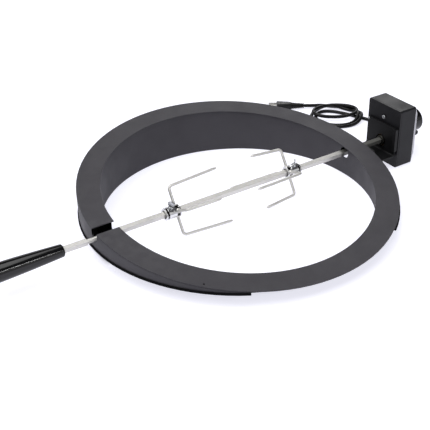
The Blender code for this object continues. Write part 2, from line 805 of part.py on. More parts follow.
def gear_motor():
    motor_front_cover()
    motor_housing()
    rear_cover()
    motor_screws()
    guide_rail()
    drive_bush()
    gear_plate()
    motor_can()
    switch_body()
    power_knob()
    gear_train()
    drive_socket()


# ---- Spit and handle ----


def sleeve_cutter(name, inner_r, low, high, turn):
    """A thick tube that turns a square bar down to a round between two stations."""
    outer = SPIT_SIDE
    section = [(inner_r, low), (outer, low), (outer, high), (inner_r, high)]
    return as_cutter(add(name, spun_mesh(section, steps=32), None, turn))


def spit_rod():
    """Square bar with a pointed tip, a round journal where it rests in the notch, and a tang."""
    half, rear = SPIT_SIDE / 2, -0.3920
    shoulder = SPIT_TIP_X - 0.008
    bm = box_mesh((-half, -half, rear), (half, half, shoulder))
    bm.faces.ensure_lookup_table()
    end = max(bm.faces, key=lambda face: face.calc_center_median().z)
    grown = bmesh.ops.extrude_face_region(bm, geom=[end])["geom"]
    point = [item for item in grown if isinstance(item, bmesh.types.BMVert)]
    bmesh.ops.delete(bm, geom=[end], context="FACES_ONLY")
    for vert in point:
        vert.co.x *= 0.3
        vert.co.y *= 0.3
        vert.co.z = SPIT_TIP_X
    turn = on_axis(0) @ Matrix.Rotation(SPIT_TURN, 4, "Z")
    rod = add("spit_rod", bm, BRIGHT_STEEL, turn)
    tang = sleeve_cutter("tang_cutter", TANG_R, rear - PAST, HANDLE_FRONT_X - 0.008, turn)
    journal = sleeve_cutter("journal_cutter", JOURNAL_R - 0.0002, -0.278, -0.222, turn)
    return cut(rod, tang, journal)


def handle_grip():
    """Tapered round grip, thicker towards its free end, with a stepped blind bore for the spit."""
    front, rear = HANDLE_FRONT_X, HANDLE_REAR_X
    front_r, rear_r, mouth_r, bore_r = 0.0102, 0.0155, 0.0062, TANG_R + GAP
    pocket_r, pocket = 0.0060, (front - 0.048, front - 0.030)
    profile = [(0, rear + 0.050), (bore_r, rear + 0.050)]
    profile += [(bore_r, pocket[0]), (pocket_r, pocket[0]), (pocket_r, pocket[1])]
    profile += [(bore_r, pocket[1]), (bore_r, front - 0.0085), (mouth_r, front - 0.0085)]
    profile += [(mouth_r, front)]
    nose, tail = 0.003, 0.006
    for step in range(4):
        turn = math.pi / 2 * step / 3
        profile.append((front_r - nose * (1 - math.sin(turn)), front - nose * (1 - math.cos(turn))))
    body = front - rear - nose - tail
    for step in range(1, 6):
        share = step / 5
        swell = 0.0006 * math.sin(math.pi * share)
        profile.append((front_r + (rear_r - front_r) * share + swell, front - nose - body * share))
    for step in range(1, 5):
        turn = math.pi / 2 * step / 4
        profile.append((rear_r - tail * (1 - math.cos(turn)), rear + tail * (1 - math.sin(turn))))
    profile.append((0, rear))
    return turned("handle_grip", profile, BLACK_GLOSS, on_axis(0), steps=40)


def handle_insert():
    """Threaded brass insert moulded into the grip, which the spit's tang screws into."""
    low, high = HANDLE_FRONT_X - 0.048 + GAP, HANDLE_FRONT_X - 0.030 - GAP
    outer, inner = 0.0060 - GAP, TANG_R + GAP
    profile = [(outer, high), (outer, low), (inner, low), (inner, high)]
    return turned("handle_insert", profile, BRASS, on_axis(0), steps=24)


# ---- Forks ----


def fork_hub(name, carrier):
    """A spool on the spit: two narrow rims, a groove inside each, and a barrel that holds the screw."""
    low, high, groove = HUB_BACK, HUB_FRONT, HUB_GROOVE_R
    mouth, mouth_r, bore_r = 0.004, 0.0070, 0.0050
    profile = [
        (HUB_R, high),
        (HUB_R, high - HUB_RIM),
        (groove, high - HUB_RIM),
        (groove, high - HUB_RIM - HUB_FRONT_GROOVE),
        (HUB_R, high - HUB_RIM - HUB_FRONT_GROOVE),
        (HUB_R, low + HUB_RIM + HUB_BACK_GROOVE),
        (groove, low + HUB_RIM + HUB_BACK_GROOVE),
        (groove, low + HUB_RIM),
        (HUB_R, low + HUB_RIM),
        (HUB_R, low),
        (mouth_r, low),
        (mouth_r, low + mouth),
        (bore_r, low + mouth),
        (bore_r, high - mouth),
        (mouth_r, high - mouth),
        (mouth_r, high),
    ]
    hub = turned(f"{name}_fork_hub", profile, CHROME, Matrix(), carrier)
    half = HUB_BORE / 2
    bore = box_mesh((-half, -half, low - PAST), (half, half, high + PAST))
    facing = 1 if name == "left" else -1
    turn = Matrix.Rotation(facing * SPIT_TURN, 4, "Z")
    out = Vector((math.cos(facing * SCREW_ANGLE), math.sin(facing * SCREW_ANGLE), 0))
    station = Vector((0, 0, SCREW_STATION))
    thread = cylinder_mesh(SCREW_R + GAP, station, station + out * 2 * HUB_R, 24)
    return cut(
        hub,
        as_cutter(add(f"{name}_hub_bore", bore, None, turn, carrier)),
        as_cutter(add(f"{name}_hub_thread", thread, None, Matrix(), carrier)),
    )


def tine_points(length):
    """Out from the hub, round one bend, then along the spit with a slight flare, ending in a point."""
    points = [(HUB_GROOVE_R + GAP, 0.0), (0.020, 0.0), (0.028, 0.0), (TINE_BEND_R - TINE_CORNER, 0.0)]
    for step in range(1, 6):
        turn = math.pi / 2 * step / 5
        points.append(
            (
                TINE_BEND_R - TINE_CORNER * (1 - math.sin(turn)),
                TINE_CORNER * (1 - math.cos(turn)),
            )
        )
    run = length - TINE_CORNER
    flare = (TINE_TIP_R - TINE_BEND_R) / run
    for share in (0.3, 0.6, 0.88, 0.96, 1.0):
        points.append((TINE_BEND_R + flare * run * share, TINE_CORNER + run * share))
    return points


def fork_tines(name, carrier, tines):
    facing = 1 if name == "left" else -1
    for number, (degrees, length) in enumerate(tines, 1):
        angle = facing * math.radians(degrees)
        route = tine_points(length)
        points = [(r * math.cos(angle), r * math.sin(angle), z) for r, z in route]
        radii = [1.0] * (len(points) - 2) + [0.8, 0.35]
        wire(f"{name}_tine_{number}", points, TINE_R, BRIGHT_STEEL, Matrix(), carrier, radii)


def thumb_screw(name, carrier, spade_turn):
    """Round shank and collar with a flat spade head, along the local Z axis, which leaves the hub."""
    facing = 1 if name == "left" else -1
    out = Vector((math.cos(facing * SCREW_ANGLE), math.sin(facing * SCREW_ANGLE), 0))
    matrix = Matrix.Translation((0, 0, SCREW_STATION)) @ out.to_track_quat("Z", "Y").to_matrix().to_4x4()
    matrix = matrix @ Matrix.Rotation(spade_turn, 4, "Z")
    shank_r, collar_r = SCREW_R, 0.0042
    low, seat = SPIT_SIDE / 2 + 0.0005, HUB_R + 0.0004
    profile = [
        (0, seat + 0.003),
        (collar_r * 0.8, seat + 0.003),
        (collar_r, seat + 0.002),
        (collar_r, seat),
        (shank_r, seat),
        (shank_r, low + 0.0008),
        (shank_r - 0.0008, low),
        (0, low),
    ]
    screw = turned(f"{name}_thumb_screw", profile, ZINC, matrix, carrier, steps=16)
    spade = box_mesh((-0.0058, -0.0011, seat + 0.001), (0.0058, 0.0011, seat + 0.0125))
    spade = add(f"{name}_spade", round_edges(spade, 0.0035, 4, along(1)), None, matrix, carrier)
    return combine(screw, "UNION", as_cutter(spade))


def fork(name, station, facing, tines, spade_turn):
    carrier = bpy.data.objects.new(f"{name}_fork", None)
    PARTS.objects.link(carrier)
    place(carrier, on_axis(station, facing=facing))
    fork_hub(name, carrier)
    fork_tines(name, carrier, tines)
    thumb_screw(name, carrier, spade_turn)


# ---- Cord ----


def cord_gland():
    """Tapered strain relief on the rear cover, its neck passing through the wall."""
    neck = SHELL_T + 0.0015
    profile = [
        (0, GLAND_LENGTH),
        (0.0045, GLAND_LENGTH),
        (0.0050, GLAND_LENGTH - 0.001),
        (0.0064, 0.0025),
        (0.0075, 0.0025),
        (0.0075, 0.0),
        (GLAND_NECK_R, 0.0),
        (GLAND_NECK_R, -neck),
        (0, -neck),
    ]
    seat = on_axis(REAR_X + GAP, CORD_EXIT[1], CORD_EXIT[2])
    return turned("cord_gland", profile, CORD_RUBBER, seat, steps=24)


def cord_coil():
    section = [
        (COIL_INNER_R, 0.0),
        (COIL_OUTER_R, 0.0),
        (COIL_OUTER_R, COIL_H),
        (COIL_INNER_R, COIL_H),
    ]
    centre = Matrix.Translation((*COIL_CENTRE, 0))
    return add("cord_coil", spun_mesh(section, steps=40), CORD_RUBBER, centre)


def plug():
    """Moulded mains plug lying on the floor: boot, body, two blades and a round earth pin."""
    facing = PLUG_DIRECTION.to_track_quat("Z", "Y").to_matrix().to_4x4()
    start = Matrix.Translation(PLUG_START) @ facing
    boot = [
        (0, BOOT_LENGTH),
        (0.0068, BOOT_LENGTH),
        (0.0064, 0.6 * BOOT_LENGTH),
        (0.0048, 0.0),
        (0, 0.0),
    ]
    turned("plug_boot", boot, CORD_RUBBER, start, steps=20)
    low = BOOT_LENGTH + GAP
    high = low + PLUG_LENGTH
    bm = box_mesh((-PLUG_W / 2, -PLUG_H / 2, low), (PLUG_W / 2, PLUG_H / 2, high))
    add("plug_body", round_edges(bm, 0.004, 3, along(2)), CORD_RUBBER, start)
    for number, side in enumerate((-1, 1), 1):
        x = side * 0.00635
        bm = box_mesh((x - 0.00075, -0.0016, high + GAP), (x + 0.00075, 0.0047, high + 0.0165))
        add(f"plug_blade_{number}", bm, NICKEL, start)
    bm = cylinder_mesh(0.0024, (0, -0.0046, high + GAP), (0, -0.0046, high + 0.0190), 16)
    add("plug_earth_pin", bm, NICKEL, start)


def cord():
    cord_gland()
    spacing = 5 * CORD_R
    wire("cord_lead", smooth_route(LEAD_ROUTE, spacing), CORD_R, CORD_RUBBER)
    cord_coil()
    wire("cord_tail", smooth_route(TAIL_ROUTE, spacing), CORD_R, CORD_RUBBER)
    plug()


wedge_ring()
bracket_fasteners()
gear_motor()
spit_rod()
handle_grip()
handle_insert()
fork("left", LEFT_FORK_X, FORWARD, LEFT_TINES, LEFT_SPADE_TURN)
fork("right", RIGHT_FORK_X, BACKWARD, RIGHT_TINES, RIGHT_SPADE_TURN)
cord()
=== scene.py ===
"""Rotisserie kit for a round charcoal grill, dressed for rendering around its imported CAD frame.

Metres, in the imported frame: +X runs along the spit towards the motor, +Z is up, and the ring's
centre stands at RING_X. Turned pieces are drawn round their own Z axis and then put in place.
"""
import json
import math

import bmesh
import bpy
from mathutils import Matrix, Vector


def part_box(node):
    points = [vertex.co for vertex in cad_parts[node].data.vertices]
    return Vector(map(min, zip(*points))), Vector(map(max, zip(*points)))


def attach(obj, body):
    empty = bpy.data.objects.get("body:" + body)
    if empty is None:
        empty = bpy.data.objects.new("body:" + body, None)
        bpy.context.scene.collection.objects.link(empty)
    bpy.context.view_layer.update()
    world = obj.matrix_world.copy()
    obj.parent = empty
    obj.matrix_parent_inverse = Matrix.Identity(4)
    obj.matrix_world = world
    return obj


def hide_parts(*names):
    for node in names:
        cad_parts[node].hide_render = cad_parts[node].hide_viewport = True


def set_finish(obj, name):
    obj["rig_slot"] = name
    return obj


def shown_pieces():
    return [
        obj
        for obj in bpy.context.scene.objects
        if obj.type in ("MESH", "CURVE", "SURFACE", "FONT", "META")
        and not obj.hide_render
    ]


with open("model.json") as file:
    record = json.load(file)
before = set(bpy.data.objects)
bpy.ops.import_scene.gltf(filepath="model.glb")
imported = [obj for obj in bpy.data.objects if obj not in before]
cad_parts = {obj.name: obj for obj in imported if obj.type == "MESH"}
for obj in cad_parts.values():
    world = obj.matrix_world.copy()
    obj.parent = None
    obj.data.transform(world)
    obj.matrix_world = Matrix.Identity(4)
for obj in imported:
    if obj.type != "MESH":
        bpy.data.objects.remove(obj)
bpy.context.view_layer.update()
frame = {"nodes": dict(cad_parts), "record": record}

NODES = frame["nodes"]
RECORD = frame["record"]
BODY_OF = {node: body for body, nodes in RECORD["behaviour"]["bodies"].items() for node in nodes}
SLOT_OF = {row["node"]: row["material_slot"] for row in RECORD["subparts"]}
RING_X = 0.024
AXIS_Z = 0.042
GAP = 0.0003
MERGE = 1e-6
FULL_TURN = math.tau
QUARTER = math.pi / 2
UP = Vector((0, 0, 1))
SCENE = bpy.context.scene
# Local X, Y, Z of a piece on the spit line become world Y, Z, X. BACKWARD points it along -X.
FORWARD = Matrix(((0, 0, 1, 0), (1, 0, 0, 0), (0, 1, 0, 0), (0, 0, 0, 1)))
BACKWARD = Matrix(((0, 0, -1, 0), (1, 0, 0, 0), (0, -1, 0, 0), (0, 0, 0, 1)))


# ---- Camera ----

LENS = 72.3
SENSOR = 36
CAMERA_PLACE = (-0.7015 + RING_X, -1.0307, 0.7576)
CAMERA_AHEAD = (0.4571, 0.7193, -0.5230)
CAMERA_ROLL = math.radians(-1.354)
NEAREST = 0.05
FARTHEST = 50


def make_camera():
    """From the handle's side, looking down a little over 30 degrees."""
    data = bpy.data.cameras.new("camera")
    data.lens = LENS
    data.sensor_width = SENSOR
    data.clip_start = NEAREST
    data.clip_end = FARTHEST
    camera = bpy.data.objects.new("camera", data)
    SCENE.collection.objects.link(camera)
    ahead = Vector(CAMERA_AHEAD).normalized()
    level = ahead.cross(UP).normalized()
    over = level.cross(ahead)
    right = level * math.cos(CAMERA_ROLL) + over * math.sin(CAMERA_ROLL)
    top = over * math.cos(CAMERA_ROLL) - level * math.sin(CAMERA_ROLL)
    turn = Matrix((right, top, -ahead)).transposed().to_4x4()
    camera.matrix_world = Matrix.Translation(CAMERA_PLACE) @ turn
    SCENE.camera = camera


make_camera()


# ---- Mesh tools ----

SHARP_FROM = 32


def crisp(mesh, degrees=SHARP_FROM):
    """Smooth shading, broken where faces meet at more than this angle."""
    mesh.shade_smooth()
    mesh.set_sharp_from_angle(angle=math.radians(degrees))
    return mesh


def new_piece(name, bm, matrix=Matrix(), degrees=SHARP_FROM):
    """A mesh object from a bmesh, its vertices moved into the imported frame."""
    bmesh.ops.recalc_face_normals(bm, faces=bm.faces)
    bm.transform(matrix)
    mesh = bpy.data.meshes.new(name)
    bm.to_mesh(mesh)
    bm.free()
    piece = bpy.data.objects.new(name, crisp(mesh, degrees))
    SCENE.collection.objects.link(piece)
    return piece


def stand_in(piece, *nodes):
    """The piece is shown instead of these nodes, moves with their body and takes their finish."""
    even = piece.modifiers.new("even_shading", "WEIGHTED_NORMAL")
    even.keep_sharp = True
    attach(piece, BODY_OF[nodes[0]])
    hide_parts(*nodes)
    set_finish(piece, SLOT_OF[nodes[0]])
    return piece


def carved(piece, operation, *others):
    """The piece after a Boolean with each of the others, which are then thrown away."""
    for other in others:
        modifier = piece.modifiers.new(other.name, "BOOLEAN")
        modifier.operation = operation
        modifier.solver = "EXACT"
        modifier.object = other
    graph = bpy.context.evaluated_depsgraph_get()
    mesh = bpy.data.meshes.new_from_object(piece.evaluated_get(graph))
    piece.modifiers.clear()
    piece.data = crisp(mesh)
    for other in others:
        bpy.data.objects.remove(other)
    return piece


def bevel(bm, edges, offset, segments, clamped=False):
    """Round bevels; clamped ones stop short where two would meet."""
    bmesh.ops.bevel(
        bm, geom=edges, offset=offset, segments=segments, profile=0.5, affect="EDGES",
        clamp_overlap=clamped,
    )


def box_mesh(low, high):
    """A box between two corners."""
    low, high = Vector(low), Vector(high)
    bm = bmesh.new()
    bmesh.ops.create_cube(bm, size=1)
    bmesh.ops.scale(bm, vec=high - low, verts=bm.verts)
    bmesh.ops.translate(bm, vec=(low + high) / 2, verts=bm.verts)
    return bm


EASE_STEPS = 3
EASE_SHARE = 0.45


def eased(profile, radius, closed):
    """A profile with each corner rounded off by up to the radius."""
    count = len(profile)
    points = []
    for index, corner in enumerate(profile):
        if not closed and index in (0, count - 1):
            points.append(Vector(corner))
            continue
        before, here = Vector(profile[index - 1]), Vector(corner)
        after = Vector(profile[(index + 1) % count])
        back, on = before - here, after - here
        start = here + back.normalized() * min(radius, EASE_SHARE * back.length)
        end = here + on.normalized() * min(radius, EASE_SHARE * on.length)
        for step in range(EASE_STEPS + 1):
            t = step / EASE_STEPS
            points.append(start * (1 - t) ** 2 + here * 2 * t * (1 - t) + end * t**2)
    return points


def lathe_mesh(profile, steps, ease):
    """A radius and height profile, its corners eased, turned all round the Z axis."""
    closed = min(r for r, _ in profile) > 0
    bm = bmesh.new()
    points = [bm.verts.new((p[0], 0, p[1])) for p in eased(profile, ease, closed)]
    edges = [bm.edges.new(pair) for pair in zip(points, points[1:])]
    if closed:
        edges.append(bm.edges.new((points[-1], points[0])))
    bmesh.ops.spin(
        bm, geom=points + edges, cent=(0, 0, 0), axis=(0, 0, 1), angle=FULL_TURN, steps=steps
    )
    bmesh.ops.remove_doubles(bm, verts=bm.verts, dist=MERGE)
    return bm


def lathe(name, profile, matrix, steps=64, ease=0.0003):
    """A turned piece, its Z axis laid along the matrix's."""
    return new_piece(name, lathe_mesh(profile, steps, ease), matrix)


def skin(bm, rings):
    """Faces from each ring of vertices to the next, with a flat cap at both ends."""
    sides = len(rings[0])
    for ring, following in zip(rings, rings[1:]):
        for step in range(sides):
            after = (step + 1) % sides
            bm.faces.new((ring[step], ring[after], following[after], following[step]))
    bm.faces.new(list(reversed(rings[0])))
    bm.faces.new(rings[-1])
    return bm


# The direction that a tube's first ring starts from; it lies along none of the tubes.
FIRST_NORMAL = (0.31, 0.17, 0.93)


def tube_mesh(points, radii, sides):
    """A round tube along points, with flat ends."""
    bm = bmesh.new()
    last = len(points) - 1
    normal = Vector(FIRST_NORMAL)
    rings = []
    for index, (point, radius) in enumerate(zip(points, radii)):
        tangent = (points[min(index + 1, last)] - points[max(index - 1, 0)]).normalized()
        normal = (normal - tangent * normal.dot(tangent)).normalized()
        side = tangent.cross(normal)
        ring = []
        for step in range(sides):
            turn = FULL_TURN * step / sides
            out = normal * math.cos(turn) + side * math.sin(turn)
            ring.append(bm.verts.new(point + out * radius))
        rings.append(ring)
    return skin(bm, rings)


FLAT_WITHIN = math.radians(0.4)


def refined(node, width, segments=2):
    """The node's own shape with its triangles joined into faces and its sharp edges softened."""
    source = NODES[node].data
    bm = bmesh.new()
    points = [bm.verts.new(vert.co) for vert in source.vertices]
    for polygon in source.polygons:
        bm.faces.new([points[index] for index in polygon.vertices])
    bmesh.ops.remove_doubles(bm, verts=bm.verts, dist=2 * MERGE)
    bmesh.ops.dissolve_degenerate(bm, dist=MERGE, edges=bm.edges)
    bmesh.ops.dissolve_limit(bm, angle_limit=FLAT_WITHIN, verts=bm.verts, edges=bm.edges)
    sharp = [
        edge
        for edge in bm.edges
        if len(edge.link_faces) == 2 and edge.calc_face_angle() > math.radians(SHARP_FROM)
    ]
    bevel(bm, sharp, width, segments, clamped=True)
    return stand_in(new_piece(f"{node}_finished", bm), node)


def middle(node):
    """The centre of the node's box."""
    low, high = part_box(node)
    return (low + high) / 2


def on_axis(y=0.0, z=AXIS_Z):
    """A line along the spit, or beside it, that starts level with the ring's centre."""
    return Matrix.Translation((RING_X, y, z)) @ FORWARD


# ---- Cord ----

CORD_D = 0.007
# The two free runs, repeated from the part's source, in metres from the ring's centre.
LEAD_ROUTE = [
    (0.3999, 0.0080, 0.0235),
    (0.4080, 0.0080, 0.0235),
    (0.4180, 0.0110, 0.0220),
    (0.4275, 0.0180, 0.0195),
    (0.4335, 0.0290, 0.0155),
    (0.4355, 0.0430, 0.0105),
    (0.4345, 0.0600, 0.0062),
    (0.4310, 0.0780, 0.0042),
    (0.4255, 0.0980, 0.0038),
    (0.4190, 0.1170, 0.0038),
    (0.4130, 0.1340, 0.0038),
    (0.4101, 0.1428, 0.0038),
]
TAIL_ROUTE = [
    (0.3800, 0.2464, 0.0038),
    (0.3700, 0.2508, 0.0040),
    (0.3610, 0.2536, 0.0052),
    (0.3530, 0.2560, 0.0064),
    (0.3485, 0.2578, 0.0069),
    (0.3450, 0.2593, 0.0071),
]
CORD_EXIT = Vector(LEAD_ROUTE[0]) + Vector((RING_X, 0, 0))
COIL_CENTRE = Vector((0.3695 + RING_X, 0.1850, 0))
COIL_RIGHT = Vector((0.844, -0.536, 0)).normalized()
COIL_AWAY = Vector((0.536, 0.844, 0)).normalized()
COIL_SQUASH = 0.93
CORD_SPACING = 0.003
CORD_SMOOTHING = 8
CURVE_STEPS = 20
# The coil is given in millimetres along COIL_RIGHT, along COIL_AWAY and up.
INTO_COIL = [
    (50, -10, 3.7), (35, 2.5, 3.6), (19.5, 14, 3.6), (3, 24, 3.6), (-14, 29.5, 3.6), (-29, 27, 3.6),
]
# Loops on the floor: degrees from COIL_RIGHT, radius, height. Each climbs over the lead near 355.
INNER_LOOP = [
    (150, 40.5, 3.6), (170, 42, 3.6), (190, 43, 3.6), (210, 43.4, 3.6), (232, 43.6, 3.6),
    (254, 43.6, 3.6), (276, 43.6, 3.6), (298, 43.6, 3.6), (316, 43.6, 4.4), (333, 43.5, 7.4),
    (348, 43.4, 10.2), (362, 43.4, 10.6), (376, 43.5, 9.2), (392, 43.8, 5.6), (408, 44.2, 4.0),
    (426, 44.6, 4.4),
]
UPPER_LOOP = [
    (8, 44.5, 7.6), (-4, 44.5, 10.0), (-16, 42, 10.7), (-29, 36.5, 10.7), (-39.5, 28, 10.7),
    (-46, 17, 10.7), (-46.5, 5.5, 10.7), (-40.5, -4.5, 10.6), (-30.5, -10.2, 10.0),
    (-18, -12, 9.0), (-5, -12, 8.4), (8, -12, 8.6), (20, -10, 9.6), (31, -5.8, 10.6),
    (39.5, 2, 10.9), (43.5, 12.5, 10.9), (42.5, 24, 10.8), (36, 34, 10.7), (25.5, 40.5, 10.7),
    (12, 43.8, 10.7), (-2, 45.4, 10.5), (-15, 46.2, 9.2), (-27.5, 43.8, 6.2),
]
OUTER_LOOP = [
    (140, 50.6, 4.2), (158, 51, 3.6), (178, 51, 3.6), (200, 51, 3.6), (222, 51, 3.6),
    (244, 51, 3.6), (266, 51, 3.6), (288, 51, 3.6), (308, 51, 3.8), (324, 51, 6.0),
    (337, 50.8, 9.4), (349, 50.6, 10.8), (361, 50.6, 9.6), (374, 50.8, 6.2), (388, 51, 4.0),
    (406, 51.4, 3.6), (424, 51.8, 3.6), (440, 52.8, 3.6),
]
OUT_OF_COIL = [(-6, 55.4, 3.6)]


def coil_point(along, away, up):
    """The coil is a little narrower from front to back than from side to side."""
    return COIL_CENTRE + (COIL_RIGHT * along + COIL_AWAY * (away * COIL_SQUASH) + UP * up) / 1000


def round_coil(loop):
    """The places of a loop's points."""
    for degrees, radius, up in loop:
        turn = math.radians(degrees)
        yield coil_point(radius * math.cos(turn), radius * math.sin(turn), up)


def cord_route():
    """The listed route points from the motor's strain relief to the plug's boot."""
    shift = Vector((RING_X, 0, 0))
    route = [Vector(p) + shift for p in LEAD_ROUTE]
    route += [coil_point(*p) for p in INTO_COIL]
    route += round_coil(INNER_LOOP)
    route += [coil_point(*p) for p in UPPER_LOOP]
    route += round_coil(OUTER_LOOP)
    route += [coil_point(*p) for p in OUT_OF_COIL]
    return route + [Vector(p) + shift for p in TAIL_ROUTE]


def smooth_route(route, spacing, passes):
    """Points at a steady spacing along a Catmull-Rom curve through the route's points."""
    ends = [2 * route[0] - route[1]] + route + [2 * route[-1] - route[-2]]
    fine = []
    for before, here, after, beyond in zip(ends, ends[1:], ends[2:], ends[3:]):
        for step in range(CURVE_STEPS):
            t = step / CURVE_STEPS
            fine.append(
                0.5
                * (
                    2 * here
                    + (after - before) * t
                    + (2 * before - 5 * here + 4 * after - beyond) * t**2
                    + (3 * here - before - 3 * after + beyond) * t**3
                )
            )
    fine.append(route[-1])
    length = sum((b - a).length for a, b in zip(fine, fine[1:]))
    count = max(2, round(length / spacing))
    points, run = [fine[0]], 0.0
    for a, b in zip(fine, fine[1:]):
        run += (b - a).length
        if run >= length * len(points) / count and len(points) < count:
            points.append(b)
    points.append(fine[-1])
    for _ in range(passes):
        between = [(a + 2 * b + c) / 4 for a, b, c in zip(points, points[1:], points[2:])]
        points = [points[0], *between, points[-1]]
    return points


PLUG_START = Vector((0.3440 + RING_X, 0.2600, 0.0072))
PLUG_DIRECTION = Vector((-0.823, 0.568, 0.0)).normalized()
PLUG_PLACE = Matrix.LocRotScale(PLUG_START, PLUG_DIRECTION.to_track_quat("Z", "Y"), None)
BOOT_LENGTH = 0.026
PLUG_LENGTH = 0.030
PLUG_W = 0.024
PLUG_H = 0.0144
PLUG_SIDES = 48
PLUG_SQUARENESS = 0.5
BOOT_MOUTH_R = 0.0048
BOOT_THIN_R = 0.0050
BOOT_THICK_R = 0.0068
CORD_HOLE_R = 0.0036
GLAND_LENGTH = 0.0210
GLAND_SEAT = 0.0040
GLAND_STEM_R = 0.0045
GLAND_FLANGE_R = 0.0075
CORD_BLIND = 0.004
RIB_SHARE = (0.04, 0.96)


def ribbed(start, end, start_r, end_r, ribs, depth):
    """Profile points of a tapering sleeve with flat-topped ribs round it."""
    points = []
    pitch = (end - start) / (2 * ribs)
    for index in range(2 * ribs):
        radius = start_r + (end_r - start_r) * (index + 0.5) / (2 * ribs)
        radius -= depth if index % 2 else 0.0
        points += [(radius, start + pitch * (index + share)) for share in RIB_SHARE]
    return points


def plug_boot():
    """Tapered sleeve with seven ribs; the cord runs a little way into it."""
    profile = [(0, CORD_BLIND), (CORD_HOLE_R, CORD_BLIND), (CORD_HOLE_R, 0.0), (BOOT_MOUTH_R, 0.0)]
    profile += ribbed(0.0008, BOOT_LENGTH - 0.003, BOOT_THIN_R, BOOT_THICK_R, 7, 0.0009)
    profile += [(BOOT_THICK_R, BOOT_LENGTH - 0.0028), (BOOT_THICK_R, BOOT_LENGTH), (0, BOOT_LENGTH)]
    return stand_in(lathe("plug_boot_ribbed", profile, PLUG_PLACE, 40, 0.00025), "plug_boot")


def oblong(turn):
    """A point of a square with full corners and sides two units long."""
    parts = math.cos(turn), math.sin(turn)
    return [math.copysign(abs(part) ** PLUG_SQUARENESS, part) for part in parts]


def plug_body():
    """A moulded grip: rounded oblong sections that swell from the boot to a flat face."""
    low = BOOT_LENGTH + GAP
    # Share of the length, of the width and of the height.
    stations = [
        (0.0, 0.56, 0.90), (0.010, 0.60, 0.93), (0.04, 0.64, 0.95), (0.16, 0.70, 0.97),
        (0.30, 0.78, 0.99), (0.42, 0.84, 0.98), (0.54, 0.88, 0.98), (0.66, 0.95, 1.0),
        (0.72, 0.985, 1.0), (0.74, 0.94, 0.95), (0.77, 0.94, 0.95), (0.79, 0.99, 1.0),
        (0.96, 1.0, 1.0), (0.985, 0.985, 0.975), (1.0, 0.95, 0.93),
    ]
    bm = bmesh.new()
    rings = []
    for share, wide, tall in stations:
        ring = []
        for step in range(PLUG_SIDES):
            across, along = oblong(FULL_TURN * step / PLUG_SIDES)
            x, y = across * PLUG_W / 2 * wide, along * PLUG_H / 2 * tall
            ring.append(bm.verts.new((x, y, low + PLUG_LENGTH * share)))
        rings.append(ring)
    return stand_in(new_piece("plug_body_moulded", skin(bm, rings), PLUG_PLACE, 40), "plug_body")


def cord_gland():
    """Ribbed strain relief, 21 mm long, on a round flange on the motor's back."""
    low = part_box("cord_gland")[0]
    stem, flange, end = GLAND_STEM_R, GLAND_FLANGE_R, GLAND_LENGTH
    profile = [(0, -GLAND_SEAT), (stem, -GLAND_SEAT), (stem, 0.0), (flange, 0.0), (flange, 0.0025)]
    profile += ribbed(0.0030, end - 0.001, 0.0064, 0.0048, 6, 0.0008)
    blind = end - CORD_BLIND
    profile += [(stem, end), (CORD_HOLE_R, end), (CORD_HOLE_R, blind), (0, blind)]
    place = Matrix.Translation((low.x + GLAND_SEAT, CORD_EXIT.y, CORD_EXIT.z)) @ FORWARD
    stand_in(lathe("cord_gland_ribbed", profile, place, 40, 0.0002), "cord_gland")


def cord():
    """The cord with its plug, and the gland that it leaves the motor through."""
    line = smooth_route(cord_route(), CORD_SPACING, CORD_SMOOTHING)
    piece = new_piece("cord", tube_mesh(line, [CORD_D / 2] * len(line), 16), degrees=60)
    stand_in(piece, "cord_lead", "cord_coil", "cord_tail")
    boot, body = plug_boot(), plug_body()
    blades = [refined(node, 0.00015) for node in ("plug_blade_1", "plug_blade_2")]
    blades.append(refined("plug_earth_pin", 0.0008, 4))
    cord_gland()


cord()


# ---- Ring and motor ----

PLAIN_NODES = {
    "ring_top_plate": 0.0005, "ring_inner_wall": 0.0005, "ring_outer_wall": 0.0005,
    "edge_seal": 0.0004, "motor_bracket": 0.0006, "guide_rail": 0.0003,
    "motor_front_cover": 0.0006, "motor_housing": 0.0005, "rear_cover": 0.0006,
    "switch_body": 0.0003, "spit_rod": 0.0006, "drive_socket": 0.0004, "gear_plate": 0.0003,
    "output_gear": 0.00012, "idler_wheel": 0.00012, "idler_pinion": 0.0001,
    "rotor_pinion": 0.0001, "bracket_nut_front": 0.0003, "bracket_nut_back": 0.0003,
    "power_knob": 0.0004,
}
DOME_STEPS = 8
DOME_RIM = 0.35
SCREW_POINT = 0.0006
SCREW_CROWN = 0.0021


def screw_profile(head_r, shank_r, length, crown):
    """A domed head whose underside is at zero, over a plain shank."""
    turns = [QUARTER * step / DOME_STEPS for step in range(DOME_STEPS + 1)]
    dome = [
        (head_r * math.sin(turn), crown * (DOME_RIM + (1 - DOME_RIM) * math.cos(turn)))
        for turn in turns
    ]
    end = -length - SCREW_POINT
    shank = [(shank_r, 0.0), (shank_r, -length), (shank_r * 0.5, end), (0, end)]
    return dome + [(head_r, 0.0)] + shank


def cross_recess(name, matrix, head_r, crown):
    """Two crossed bars that cut a cross-head's recess, as one body."""
    reach, width, floor, top = head_r * 0.62, head_r * 0.11, crown * 0.42, crown * 1.5
    bars = [
        new_piece(f"{name}_bar_{number}", box_mesh((-a, -b, floor), (a, b, top)), matrix)
        for number, (a, b) in enumerate(((reach, width), (width, reach)), 1)
    ]
    return carved(bars[0], "UNION", bars[1])


